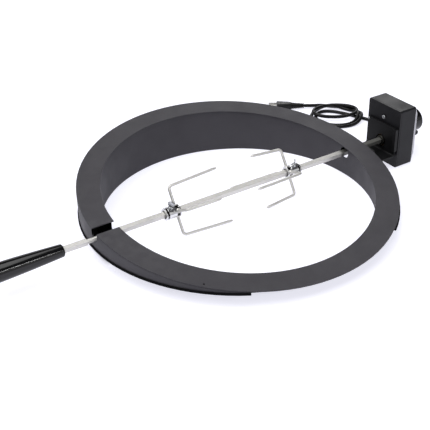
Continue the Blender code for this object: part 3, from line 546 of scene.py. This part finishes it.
def cross_head_screw(node, head_r, shank_r, length, facing):
    """A cross-head screw whose dome ends where the node's box does."""
    crown = SCREW_CROWN
    low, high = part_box(node)
    centre = (low + high) / 2
    seat = high.x - crown if facing is FORWARD else low.x + crown
    matrix = Matrix.Translation((seat, centre.y, centre.z)) @ facing
    profile = screw_profile(head_r, shank_r, length, crown)
    screw = lathe(f"{node}_finished", profile, matrix, 40, 0.0001)
    stand_in(carved(screw, "DIFFERENCE", cross_recess(node, matrix, head_r, crown)), node)


# Distances out from the ring's centre, and the bolt's own sizes.
BOLT_Z = 0.0385
BOLT_DEGREES = 5.2
BOLT_SEAT = 0.2708
BOLT_END = 0.2560
BOLT_HEAD_R = 0.0048
BOLT_SHANK_R = 0.0025
BOLT_CROWN = 0.0028
SOCKET_R = 0.0017
SOCKET_MIDDLE = 0.0032
SOCKET_LENGTH = 0.004
SPACER_SPAN = (0.2653, 0.2667)
SPACER_R = 0.0045
SPACER_HOLE_R = 0.0028


def socket_bolt(side, degrees):
    """Button-head bolt with a hexagon socket, through the bracket, a spacer and the ring's wall."""
    turn = Matrix.Rotation(math.radians(degrees), 4, "Z")
    matrix = Matrix.Translation((RING_X, 0, BOLT_Z)) @ turn @ FORWARD
    profile = screw_profile(BOLT_HEAD_R, BOLT_SHANK_R, BOLT_SEAT - BOLT_END, BOLT_CROWN)
    place = matrix @ Matrix.Translation((0, 0, BOLT_SEAT))
    bolt = lathe(f"bracket_bolt_{side}_finished", profile, place, 40, 0.0001)
    key = bmesh.new()
    bmesh.ops.create_cone(
        key, cap_ends=True, segments=6, radius1=SOCKET_R, radius2=SOCKET_R, depth=SOCKET_LENGTH,
        matrix=Matrix.Translation((0, 0, BOLT_SEAT + SOCKET_MIDDLE)),
    )
    bolt = carved(bolt, "DIFFERENCE", new_piece("key", key, matrix))
    stand_in(bolt, f"bracket_bolt_{side}")
    low, high = SPACER_SPAN
    spacer = [(SPACER_R, high), (SPACER_R, low), (SPACER_HOLE_R, low), (SPACER_HOLE_R, high)]
    spacer = lathe(f"bracket_spacer_{side}_finished", spacer, matrix, 40, 0.0002)
    stand_in(spacer, f"bracket_spacer_{side}")


# Radius and distance along the spit line from the ring's centre.
BUSH_PROFILE = [
    (0.0140, 0.3285), (0.0140, 0.3233), (0.0117, 0.3233), (0.0117, 0.3195), (0.0093, 0.3195),
    (0.0093, 0.3285),
]
CAN_PROFILE = [
    (0, 0.3648), (0.0070, 0.3648), (0.0072, 0.3643), (0.0104, 0.3643), (0.0116, 0.3636),
    (0.0116, 0.3545), (0.0018, 0.3545), (0.0018, 0.3618), (0, 0.3618),
]
INSERT_PROFILE = [(0.0057, -0.3473), (0.0057, -0.3647), (0.0033, -0.3647), (0.0033, -0.3473)]
PINS = (("idler_axle", 0.0020, 0.3250, 0.3540), ("rotor_shaft", 0.0015, 0.3300, 0.3615))


def round_pieces():
    """Turned pieces inside the motor and the handle, drawn finer than their solids."""
    stand_in(lathe("drive_bush_finished", BUSH_PROFILE, on_axis(), 64, 0.0004), "drive_bush")
    for node, radius, low, high in PINS:
        centre = middle(node)
        matrix = on_axis(centre.y, centre.z)
        pin = [(0, high), (radius, high), (radius, low), (0, low)]
        stand_in(lathe(f"{node}_finished", pin, matrix, 32, 0.0005), node)
    centre = middle("motor_can")
    can = lathe("motor_can_finished", CAN_PROFILE, on_axis(centre.y, centre.z), 64)
    stand_in(can, "motor_can")
    stand_in(lathe("handle_insert_finished", INSERT_PROFILE, on_axis(), 40), "handle_insert")


GRIP_BELOW_RIM = 0.0008
MARK_SPAN = (0.0040, 0.0150)
MARK_HALF_WIDTH = 0.0006
MARK_SUNK = 0.0004
MARK_PROUD = 0.00015


def knob_mark():
    """A thin painted line along the upper half of the knob's grip bar, as its pointer."""
    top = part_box("power_knob")[1].x - GRIP_BELOW_RIM
    low, high = MARK_SPAN
    bm = box_mesh(
        (-MARK_HALF_WIDTH, low, top - MARK_SUNK), (MARK_HALF_WIDTH, high, top + MARK_PROUD)
    )
    bevel(bm, bm.edges[:], 0.0001, 1)
    place = Matrix.Translation((0, 0, middle("power_knob").z)) @ FORWARD
    mark = new_piece("knob_pointer_line", bm, place)
    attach(mark, "knob")
    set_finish(mark, "rear_grey")


def gear_motor():
    """Screws, bolts and turned pieces of the motor and its bracket, and the knob's mark."""
    cross_head_screw("cover_screw", 0.0038, 0.0016, 0.009, BACKWARD)
    cross_head_screw("bracket_screw", 0.0024, 0.0013, 0.011, BACKWARD)
    for number in (1, 2, 3):
        cross_head_screw(f"rear_screw_{number}", 0.0030, 0.0014, 0.006, FORWARD)
    socket_bolt("front", -BOLT_DEGREES)
    socket_bolt("back", BOLT_DEGREES)
    round_pieces()
    knob_mark()


for NODE, WIDTH in PLAIN_NODES.items():
    refined(NODE, WIDTH)
gear_motor()


# ---- Handle ----

GRIP_FRONT = -0.317
GRIP_REAR = -0.445
GRIP_FRONT_R = 0.0102
GRIP_REAR_R = 0.0155
GRIP_NOSE = 0.003
GRIP_TAIL = 0.006
GRIP_SWELL = 0.0006
GRIP_GROOVE = 0.00035
GROOVE_SHARES = (0.060, 0.072)
MOUTH_R = 0.0062
MOUTH_DEPTH = 0.0085
BORE_R = 0.0033
BORE_DEPTH = 0.078
POCKET_R = 0.0060
POCKET_SPAN = (0.030, 0.048)
NOSE_STEPS = 8
BODY_STEPS = 40
TAIL_STEPS = 12


def grip_hollow():
    """Profile of the bore from its blind end to the mouth, with the pocket for the insert."""
    near, far = (GRIP_FRONT - depth for depth in POCKET_SPAN)
    blind, shoulder = GRIP_FRONT - BORE_DEPTH, GRIP_FRONT - MOUTH_DEPTH
    return [
        (0, blind), (BORE_R, blind), (BORE_R, far), (POCKET_R, far), (POCKET_R, near),
        (BORE_R, near), (BORE_R, shoulder), (MOUTH_R, shoulder), (MOUTH_R, GRIP_FRONT),
    ]


def handle_grip():
    """Round grip, thicker towards its rounded end, with a fine groove near the spit."""
    profile = grip_hollow()
    for step in range(NOSE_STEPS + 1):
        turn = QUARTER * step / NOSE_STEPS
        radius = GRIP_FRONT_R - GRIP_NOSE * (1 - math.sin(turn))
        profile.append((radius, GRIP_FRONT - GRIP_NOSE * (1 - math.cos(turn))))
    body = GRIP_FRONT - GRIP_REAR - GRIP_NOSE - GRIP_TAIL
    for step in range(1, BODY_STEPS + 1):
        share = step / BODY_STEPS
        radius = GRIP_FRONT_R + (GRIP_REAR_R - GRIP_FRONT_R) * share
        radius += GRIP_SWELL * math.sin(math.pi * share)
        if GROOVE_SHARES[0] < share < GROOVE_SHARES[1]:
            radius -= GRIP_GROOVE
        profile.append((radius, GRIP_FRONT - GRIP_NOSE - body * share))
    for step in range(1, TAIL_STEPS + 1):
        turn = QUARTER * step / TAIL_STEPS
        radius = GRIP_REAR_R - GRIP_TAIL * (1 - math.cos(turn))
        profile.append((radius, GRIP_REAR + GRIP_TAIL * (1 - math.sin(turn))))
    profile.append((0, GRIP_REAR))
    stand_in(lathe("handle_grip_finished", profile, on_axis(), 96), "handle_grip")


handle_grip()


# ---- Forks ----

HUB_R = 0.0104
HUB_GROOVE_R = 0.0090
HUB_BACK = -0.0218
HUB_FRONT = 0.0046
HUB_RIM = 0.0018
HUB_BACK_GROOVE = 0.0030
HUB_FRONT_GROOVE = 0.0058
HUB_BORE = 0.0088
HUB_BORE_R = 0.0050
HUB_MOUTH = 0.004
HUB_MOUTH_R = 0.0070
THREAD_R = 0.0027
SPIT_TURN = math.radians(13)
SCREW_STATION = -0.0105
SCREW_ANGLE = math.radians(103)
TINE_R = 0.0024
TINE_BEND_R = 0.041
TINE_TIP_R = 0.0455
TINE_CORNER = 0.006
LONG_TINE = 0.0935
SHORT_TINE = 0.0615
CORNER_STEPS = 12
# Height above the groove's floor and radius of the weld that a prong grows out of.
WELD = ((-0.0002, 0.0042), (0.0006, 0.0038), (0.0013, 0.0028), (0.0024, TINE_R))
# Share of a prong's run, and of its thickness: even, then drawn to a point.
POINT = (
    (0.1, 1.0), (0.2, 1.0), (0.3, 1.0), (0.4, 1.0), (0.5, 1.0), (0.6, 1.0), (0.7, 1.0), (0.8, 1.0),
    (0.90, 1.0), (0.945, 0.94), (0.97, 0.76), (0.988, 0.48), (0.997, 0.26), (1.0, 0.10),
)
SCREW_END = 0.0045
SCREW_SHANK_R = 0.0024
SPADE_HALF_THICK = 0.0011
# Height above the collar's seat and half the width of the spade.
SPADE = (
    (0.0010, 0.0030), (0.0035, 0.0034), (0.0055, 0.0050), (0.0075, 0.0058), (0.0095, 0.0056),
    (0.0112, 0.0042), (0.0121, 0.0022), (0.0124, 0.0008),
)
# The way it faces, its prongs' angles and lengths, and its spade's angle.
FORKS = {
    "left": (
        1, ((58, LONG_TINE), (152, SHORT_TINE), (238, LONG_TINE), (328, SHORT_TINE)), 45,
    ),
    "right": (
        -1, ((58, SHORT_TINE), (159, LONG_TINE), (238, SHORT_TINE), (332, LONG_TINE)), 141,
    ),
}


def screw_direction(facing):
    """The way a thumb screw points out of its barrel."""
    turn = facing * SCREW_ANGLE
    return Vector((math.cos(turn), math.sin(turn), 0))


def fork_hub(name, facing, place):
    """Barrel with two turned grooves, a square bore and the thumb screw's hole."""
    low, high, groove = HUB_BACK, HUB_FRONT, HUB_GROOVE_R
    front, back = high - HUB_RIM, low + HUB_RIM
    profile = [
        (HUB_R, high), (HUB_R, front), (groove, front), (groove, front - HUB_FRONT_GROOVE),
        (HUB_R, front - HUB_FRONT_GROOVE), (HUB_R, back + HUB_BACK_GROOVE),
        (groove, back + HUB_BACK_GROOVE), (groove, back), (HUB_R, back), (HUB_R, low),
        (HUB_MOUTH_R, low), (HUB_MOUTH_R, low + HUB_MOUTH), (HUB_BORE_R, low + HUB_MOUTH),
        (HUB_BORE_R, high - HUB_MOUTH), (HUB_MOUTH_R, high - HUB_MOUTH), (HUB_MOUTH_R, high),
    ]
    hub = lathe(f"{name}_fork_hub_finished", profile, place, 80, 0.0004)
    half, past = HUB_BORE / 2, 0.01
    square = Matrix.Rotation(facing * SPIT_TURN, 4, "Z")
    bore = box_mesh((-half, -half, low - past), (half, half, high + past))
    bore = new_piece("bore", bore, place @ square)
    station = Vector((0, 0, SCREW_STATION))
    end = station + screw_direction(facing) * 2 * HUB_R
    thread = new_piece("thread", tube_mesh([station, end], [THREAD_R] * 2, 32), place)
    stand_in(carved(hub, "DIFFERENCE", bore, thread), f"{name}_fork_hub")


def tine_path(length):
    """Distance out, distance along and radius of the wire: a weld at the hub, a bend, a point."""
    rows = [(HUB_GROOVE_R + rise, 0.0, radius) for rise, radius in WELD]
    rows += [(out, 0.0, TINE_R) for out in (0.016, 0.022, 0.028)]
    for step in range(CORNER_STEPS + 1):
        turn = QUARTER * step / CORNER_STEPS
        out = TINE_BEND_R - TINE_CORNER * (1 - math.sin(turn))
        rows.append((out, TINE_CORNER * (1 - math.cos(turn)), TINE_R))
    run = length - TINE_CORNER
    flare = TINE_TIP_R - TINE_BEND_R
    for share, thick in POINT:
        rows.append((TINE_BEND_R + flare * share, TINE_CORNER + run * share, TINE_R * thick))
    return rows


def fork_tines(name, facing, place, tines):
    """Four bent prongs, each welded into the barrel's front groove."""
    for number, (degrees, length) in enumerate(tines, 1):
        angle = facing * math.radians(degrees)
        rows = tine_path(length)
        points = [Vector((r * math.cos(angle), r * math.sin(angle), z)) for r, z, _ in rows]
        bm = tube_mesh(points, [thick for _, _, thick in rows], 24)
        node = f"{name}_tine_{number}"
        stand_in(new_piece(f"{node}_finished", bm, place, 50), node)


def thumb_screw(name, facing, place, spade_degrees):
    """Round shank and collar with a flat spade head that narrows above the collar."""
    aim = screw_direction(facing).to_track_quat("Z", "Y")
    matrix = place @ Matrix.LocRotScale(Vector((0, 0, SCREW_STATION)), aim, None)
    matrix = matrix @ Matrix.Rotation(math.radians(spade_degrees), 4, "Z")
    low, seat, shank = SCREW_END, HUB_R + 0.0004, SCREW_SHANK_R
    profile = [(0, seat + 0.003), (0.0034, seat + 0.003), (0.0042, seat + 0.0021), (0.0042, seat)]
    profile += [(shank, seat), (shank, low + 0.0008), (shank - 0.0008, low), (0, low)]
    screw = lathe(f"{name}_thumb_screw_finished", profile, matrix, 48, 0.0004)
    outline = [(wide, seat + rise) for rise, wide in SPADE]
    outline += [(-wide, seat + rise) for rise, wide in reversed(SPADE)]
    bm = bmesh.new()
    face = bm.faces.new([bm.verts.new((x, -SPADE_HALF_THICK, z)) for x, z in outline])
    grown = bmesh.ops.extrude_face_region(bm, geom=[face])["geom"]
    moved = [vert for vert in grown if isinstance(vert, bmesh.types.BMVert)]
    bmesh.ops.translate(bm, vec=(0, 2 * SPADE_HALF_THICK, 0), verts=moved)
    rims = [edge for edge in bm.edges if abs(edge.verts[0].co.y - edge.verts[1].co.y) < MERGE]
    bevel(bm, rims, 0.0004, 2)
    screw = carved(screw, "UNION", new_piece("spade", bm, matrix))
    stand_in(screw, f"{name}_thumb_screw")


def fork(name):
    """A barrel, its prongs and its thumb screw, where the node's barrel stands."""
    facing, tines, spade_degrees = FORKS[name]
    low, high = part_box(f"{name}_fork_hub")
    if facing > 0:
        place = Matrix.Translation((low.x - HUB_BACK, 0, AXIS_Z)) @ FORWARD
    else:
        place = Matrix.Translation((high.x + HUB_BACK, 0, AXIS_Z)) @ BACKWARD
    fork_hub(name, facing, place)
    fork_tines(name, facing, place, tines)
    thumb_screw(name, facing, place, spade_degrees)


fork("left")
fork("right")


# ---- Materials ----

# Noise scales, in cells to the metre.
STAINING = 38
MOTTLING = 9
GREASE = 24
HANDLING = 45
PAINT_GLOSS = 30
RUBBING = 60
ORANGE_PEEL = 850
LIGHT_SPECKS = 1400
DARK_SPECKS = 1900
PALE_GRAINS = 2200
SPARK_GRAIN = 2600
# Heights of relief, in metres.
PEEL_HEIGHT = 0.00004
GRAIN_HEIGHT = 0.00002
# How pointed an edge is where its paint starts to be rubbed, and where it is rubbed most.
WORN_SPAN = (0.53, 0.62)
WORN_MOST = 0.6
# Streaks that are coarse along the spit and fine across it.
ALONG_X = (14, 900, 900)
# Near black used for painted shade, in the barrels' grooves and bores and on the floor under the
# ring's hollow.
PAINTED_SHADE_BLACK = (0.012, 0.012, 0.012)
# Distance out from the spit line, from the painted shade in a barrel's groove to its plain face.
GROOVE_EDGE = (0.0093, 0.0097)
# How far a barrel's face turns along the spit, from full painted shade to none.
TURNED_ALONG = (0.3, 0.6)
# Colour of the painted shade on the steel from just inside the ring to the driven end.
ROD_SHADE_COLOUR = (0.10, 0.10, 0.092)
# Distance along X, from plain steel to full painted shade.
ROD_SHADE_SPAN = (0.242, 0.247)
ROD_SHADE_DEPTH = 0.9


class Look:
    """A Principled material built up in layers from the object's own coordinates."""

    def __init__(self, name, colour, roughness, metallic=0.0, specular=0.5):
        self.made = bpy.data.materials.new(name)
        self.made.use_nodes = True
        self.nodes, self.links = self.made.node_tree.nodes, self.made.node_tree.links
        self.shader = self.nodes["Principled BSDF"]
        self.colour = colour
        self.shader.inputs["Base Color"].default_value = (*colour, 1)
        self.shader.inputs["Roughness"].default_value = roughness
        self.shader.inputs["Metallic"].default_value = metallic
        self.shader.inputs["Specular IOR Level"].default_value = specular
        self.roughness = roughness
        self.place = self.nodes.new("ShaderNodeTexCoord").outputs["Object"]
        self.paint = None
        self.normal = None

    def math(self, operation, *values):
        """A sum done on sockets or plain numbers."""
        node = self.nodes.new("ShaderNodeMath")
        node.operation = operation
        for socket, value in zip(node.inputs, values):
            if isinstance(value, (int, float)):
                socket.default_value = value
            else:
                self.links.new(value, socket)
        return node.outputs[0]

    def parts(self, vector):
        """The three parts of a vector."""
        node = self.nodes.new("ShaderNodeSeparateXYZ")
        self.links.new(vector, node.inputs[0])
        return node.outputs

    def radius(self, first, second):
        """The length of a vector with these two parts."""
        squares = [self.math("MULTIPLY", part, part) for part in (first, second)]
        return self.math("SQRT", self.math("ADD", *squares))

    def noise(self, scale, detail=3.0, stretch=(1, 1, 1)):
        """Fractal noise in the object's own space, finer along the axes that stretch says."""
        mapping = self.nodes.new("ShaderNodeMapping")
        mapping.inputs["Scale"].default_value = stretch
        self.links.new(self.place, mapping.inputs["Vector"])
        noise = self.nodes.new("ShaderNodeTexNoise")
        noise.inputs["Scale"].default_value = scale
        noise.inputs["Detail"].default_value = detail
        self.links.new(mapping.outputs["Vector"], noise.inputs["Vector"])
        return noise.outputs["Fac"]

    def ramp(self, value, low, high, to_low, to_high):
        """The value carried from one span to another, and held at its ends."""
        node = self.nodes.new("ShaderNodeMapRange")
        spans = {"From Min": low, "From Max": high, "To Min": to_low, "To Max": to_high}
        for name, number in spans.items():
            node.inputs[name].default_value = number
        self.links.new(value, node.inputs["Value"])
        return node.outputs["Result"]

    def blend(self, factor, colour):
        """Paints a colour over what is there, as far as the factor says."""
        node = self.nodes.new("ShaderNodeMix")
        node.data_type = "RGBA"
        under, over = node.inputs[6], node.inputs[7]
        if self.paint:
            self.links.new(self.paint, under)
        else:
            under.default_value = (*self.colour, 1)
        over.default_value = (*colour, 1)
        self.links.new(factor, node.inputs[0])
        self.paint = node.outputs[2]
        self.links.new(self.paint, self.shader.inputs["Base Color"])
        return self

    def vary(self, value, amount):
        """Roughness that wanders about its middle with a texture."""
        rough = self.ramp(value, 0.3, 0.7, self.roughness - amount, self.roughness + amount)
        self.links.new(rough, self.shader.inputs["Roughness"])
        return self

    def bump(self, value, height, strength):
        """Fine relief, added to what is there."""
        node = self.nodes.new("ShaderNodeBump")
        node.inputs["Distance"].default_value = height
        node.inputs["Strength"].default_value = strength
        self.links.new(value, node.inputs["Height"])
        if self.normal:
            self.links.new(self.normal, node.inputs["Normal"])
        self.normal = node.outputs["Normal"]
        self.links.new(self.normal, self.shader.inputs["Normal"])
        return self

    def worn_edges(self, colour):
        """A lighter colour where an edge stands proud."""
        pointed = self.nodes.new("ShaderNodeNewGeometry").outputs["Pointiness"]
        proud = self.ramp(pointed, *WORN_SPAN, 0.0, WORN_MOST)
        patchy = self.ramp(self.noise(RUBBING), 0.4, 0.6, 0.2, 1.0)
        return self.blend(self.math("MULTIPLY", proud, patchy), colour)


def tint(colour, gain):
    """The colour made lighter or darker."""
    return tuple(min(1.0, channel * gain) for channel in colour)


def painted(name, colour, roughness, specular, speck, worn):
    """Baked or powder-coated paint: faint mottling, fine specks, orange peel and rubbed edges."""
    look = Look(name, colour, roughness, specular=specular)
    look.blend(look.ramp(look.noise(MOTTLING, 4), 0.35, 0.7, 0.0, 0.5), tint(colour, 1.35))
    look.blend(look.ramp(look.noise(LIGHT_SPECKS, 2), 0.60, 0.72, 0.0, speck), tint(colour, 2.4))
    look.blend(look.ramp(look.noise(DARK_SPECKS, 2), 0.28, 0.40, speck, 0.0), tint(colour, 0.45))
    look.worn_edges(worn)
    look.vary(look.noise(PAINT_GLOSS, 4), 0.07)
    look.bump(look.noise(ORANGE_PEEL, 2), PEEL_HEIGHT, 0.5)
    return look


def brushed(name, colour, roughness, stretch, streak=0.5, metallic=1.0):
    """Drawn or brushed steel: long streaks in colour, gloss and relief, with a little staining."""
    look = Look(name, colour, roughness, metallic=metallic)
    lines = look.noise(1.0, 5, stretch)
    look.blend(look.ramp(lines, 0.35, 0.65, 0.0, streak), tint(colour, 0.62))
    look.blend(look.ramp(look.noise(STAINING, 4), 0.52, 0.75, 0.0, 0.45), tint(colour, 0.72))
    look.vary(lines, 0.10)
    look.bump(lines, GRAIN_HEIGHT, 0.6)
    return look


def moulded(name, colour, roughness, specular, grain=0.3, smudge=0.05):
    """Moulded plastic or rubber: a fine spark-eroded grain, with handling marks in its gloss."""
    look = Look(name, colour, roughness, specular=specular)
    look.blend(look.ramp(look.noise(GREASE, 4), 0.4, 0.7, 0.0, 0.5), tint(colour, 1.5))
    look.blend(look.ramp(look.noise(PALE_GRAINS, 2), 0.58, 0.74, 0.0, 0.4), tint(colour, 1.9))
    look.vary(look.noise(HANDLING, 5), smudge)
    look.bump(look.noise(SPARK_GRAIN, 2), GRAIN_HEIGHT, grain)
    return look


def fork_barrels():
    """Plated barrels with painted shade in their turned grooves and bores."""
    look = brushed("look_chrome", (0.68, 0.68, 0.69), 0.18, (200, 200, 200), 0.15)
    _, across, height = look.parts(look.place)
    distance = look.radius(across, look.math("SUBTRACT", height, AXIS_Z))
    facing = look.parts(look.nodes.new("ShaderNodeNewGeometry").outputs["Normal"])
    radial = look.ramp(look.math("ABSOLUTE", facing[0]), *TURNED_ALONG, 1, 0)
    groove_shade = look.ramp(distance, *GROOVE_EDGE, 1, 0)
    # Painted shade where the face turns along the spit inside the groove radius.
    return look.blend(look.math("MULTIPLY", radial, groove_shade), PAINTED_SHADE_BLACK)


def drawn_bars():
    """Drawn steel, darkened with painted shade from just inside the ring to the driven end."""
    look = brushed("look_steel", (0.68, 0.667, 0.64), 0.38, ALONG_X, 0.35, 0.5)
    along = look.parts(look.place)[0]
    return look.blend(look.ramp(along, *ROD_SHADE_SPAN, 0.0, ROD_SHADE_DEPTH), ROD_SHADE_COLOUR)


LOOKS = {
    "ring_paint": painted(
        "look_ring", (0.0385, 0.0365, 0.0425), 0.58, 0.26, 0.25, (0.11, 0.11, 0.115)
    ),
    "seal_rubber": moulded("look_seal", (0.0025, 0.0025, 0.003), 0.8, 0.06, 0.6),
    "bright_steel": drawn_bars(),
    "dark_steel": brushed("look_dark_steel", (0.055, 0.053, 0.048), 0.45, ALONG_X, 0.4),
    "chrome": fork_barrels(),
    "zinc": brushed("look_zinc", (0.50, 0.51, 0.52), 0.30, (300, 300, 300), 0.3),
    "bronze": brushed("look_bronze", (0.20, 0.13, 0.06), 0.5, (500, 500, 500), 0.4),
    "black_gloss": moulded("look_gloss", (0.0022, 0.0022, 0.0026), 0.11, 0.42, 0.05, 0.03),
    "black_satin": painted(
        "look_satin", (0.0060, 0.0060, 0.0072), 0.44, 0.20, 0.35, (0.024, 0.024, 0.028)
    ),
    "rear_grey": moulded("look_rear_grey", (0.36, 0.36, 0.39), 0.5, 0.4, 0.5),
    "bracket_paint": painted(
        "look_bracket", (0.0045, 0.0045, 0.005), 0.42, 0.18, 0.3, (0.022, 0.022, 0.024)
    ),
    "gear_nylon": moulded("look_nylon", (0.70, 0.68, 0.60), 0.5, 0.5, 0.4),
    "cord_rubber": moulded("look_cord", (0.0028, 0.0028, 0.0032), 0.38, 0.22, 0.6, 0.08),
    "brass": brushed("look_brass", (0.58, 0.43, 0.18), 0.3, (400, 400, 400), 0.4),
    "nickel": brushed("look_nickel", (0.46, 0.45, 0.42), 0.3, (400, 60, 400), 0.4),
}
# Near-black, unreflecting material laid on the ring's inner faces as painted shade.
HOLLOW_SHADE = moulded("look_hollow_shade", (0.0015, 0.0015, 0.0015), 0.9, 0.0)
WALL_IN = 0.2308
WALL_OUT = 0.2642
FACES_DOWN = -0.3
FACES_SIDEWAYS = 0.5


def faces_hollow(name, polygon):
    """Whether a face of the ring looks into the space between its walls, which gets near-black
    painted shade.
    """
    if name.startswith("ring_top_plate"):
        return polygon.normal.z < FACES_DOWN
    out = Vector((polygon.center.x - RING_X, polygon.center.y))
    return WALL_IN < out.length < WALL_OUT and abs(polygon.normal.z) < FACES_SIDEWAYS


def assign_looks():
    """Every node and every piece gets the material of its slot; faces inside the ring get
    near-black painted shade.
    """
    for node, slot in SLOT_OF.items():
        NODES[node].data.materials.clear()
        NODES[node].data.materials.append(LOOKS[slot].made)
    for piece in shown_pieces():
        if piece.name in NODES:
            continue
        piece.data.materials.clear()
        piece.data.materials.append(LOOKS[piece["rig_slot"]].made)
        if piece.name.startswith("ring_"):
            piece.data.materials.append(HOLLOW_SHADE.made)
            for polygon in piece.data.polygons:
                polygon.material_index = int(faces_hollow(piece.name, polygon))


assign_looks()


# ---- Stage ----

FLOOR_HALF = 8
FLOOR_BELOW = 0.0002
FLOOR_COLOUR = (0.50, 0.50, 0.52)
FLOOR_PALER = (0.52, 0.52, 0.54)
FLOOR_CLOUDS = 3
FLOOR_GLOSS = 80
GLOW = 0.78
GLOW_COLOUR = (0.90, 0.90, 1.0, 1)
ROOM = 0.10
ROOM_COLOUR = (0.94, 0.95, 1.0, 1)
# Distances from the ring's centre, and across the spit, over which the hollow's shade sets in.
SHADE_FROM = (0.2294, 0.2314)
SHADE_TO = (0.246, 0.258)
SHADE_SIDE = (-0.02, 0.0)


def make_stage():
    """A lit, glowing pale table in a dim room, with painted shade where the ring's hollow stands
    over it.
    """
    bm = bmesh.new()
    bmesh.ops.create_grid(bm, x_segments=1, y_segments=1, size=FLOOR_HALF)
    floor = new_piece("floor", bm)
    floor.location.z = -FLOOR_BELOW
    look = Look("look_floor", FLOOR_COLOUR, 0.85, specular=0.05)
    look.blend(look.ramp(look.noise(FLOOR_CLOUDS, 3), 0.4, 0.6, 0.0, 0.4), FLOOR_PALER)
    look.vary(look.noise(FLOOR_GLOSS, 3), 0.04)
    along, across, _ = look.parts(look.place)
    distance = look.radius(look.math("SUBTRACT", along, RING_X), across)
    starts, ends = look.ramp(distance, *SHADE_FROM, 0, 1), look.ramp(distance, *SHADE_TO, 1, 0)
    side = look.ramp(across, *SHADE_SIDE, 0, 1)
    shade = look.math("MULTIPLY", look.math("MULTIPLY", starts, ends), side)
    # Painted shade: the floor's colour is darkened and its glow cut under the ring's hollow.
    look.blend(shade, PAINTED_SHADE_BLACK)
    glow = look.math("MULTIPLY", look.math("SUBTRACT", 1.0, shade), GLOW)
    look.shader.inputs["Emission Color"].default_value = GLOW_COLOUR
    look.links.new(glow, look.shader.inputs["Emission Strength"])
    floor.data.materials.append(look.made)
    world = bpy.data.worlds.new("studio")
    world.use_nodes = True
    room = world.node_tree.nodes["Background"].inputs
    room["Color"].default_value = ROOM_COLOUR
    room["Strength"].default_value = ROOM
    SCENE.world = world
    SCENE.view_settings.view_transform = "Standard"


def softbox(name, place, aim, size, power):
    """A rectangular area light that looks at a point."""
    data = bpy.data.lights.new(name, "AREA")
    data.shape = "RECTANGLE"
    data.size, data.size_y = size
    data.energy = power
    light = bpy.data.objects.new(name, data)
    SCENE.collection.objects.link(light)
    light.location = place
    light.rotation_mode = "QUATERNION"
    light.rotation_quaternion = (Vector(aim) - Vector(place)).to_track_quat("-Z", "Y")


make_stage()
softbox("overhead", (-1.1, 0.3, 3.0), (0.1, 0.1, 0), (3.6, 5.0), 150)
softbox("backdrop", (2.2, 3.3, 1.3), (0.1, 0.1, 0), (5.0, 1.8), 26)
softbox("front_card", (1.2, -3.0, 0.9), (0, 0, 0), (3.5, 1.8), 13)
softbox("back_card", (3.0, 3.2, 2.4), (0.1, 0.2, 0), (1.6, 1.2), 24)
softbox("strip", (0.16, -1.95, 1.26), (-0.4, 0, 0.04), (1.0, 0.06), 8)
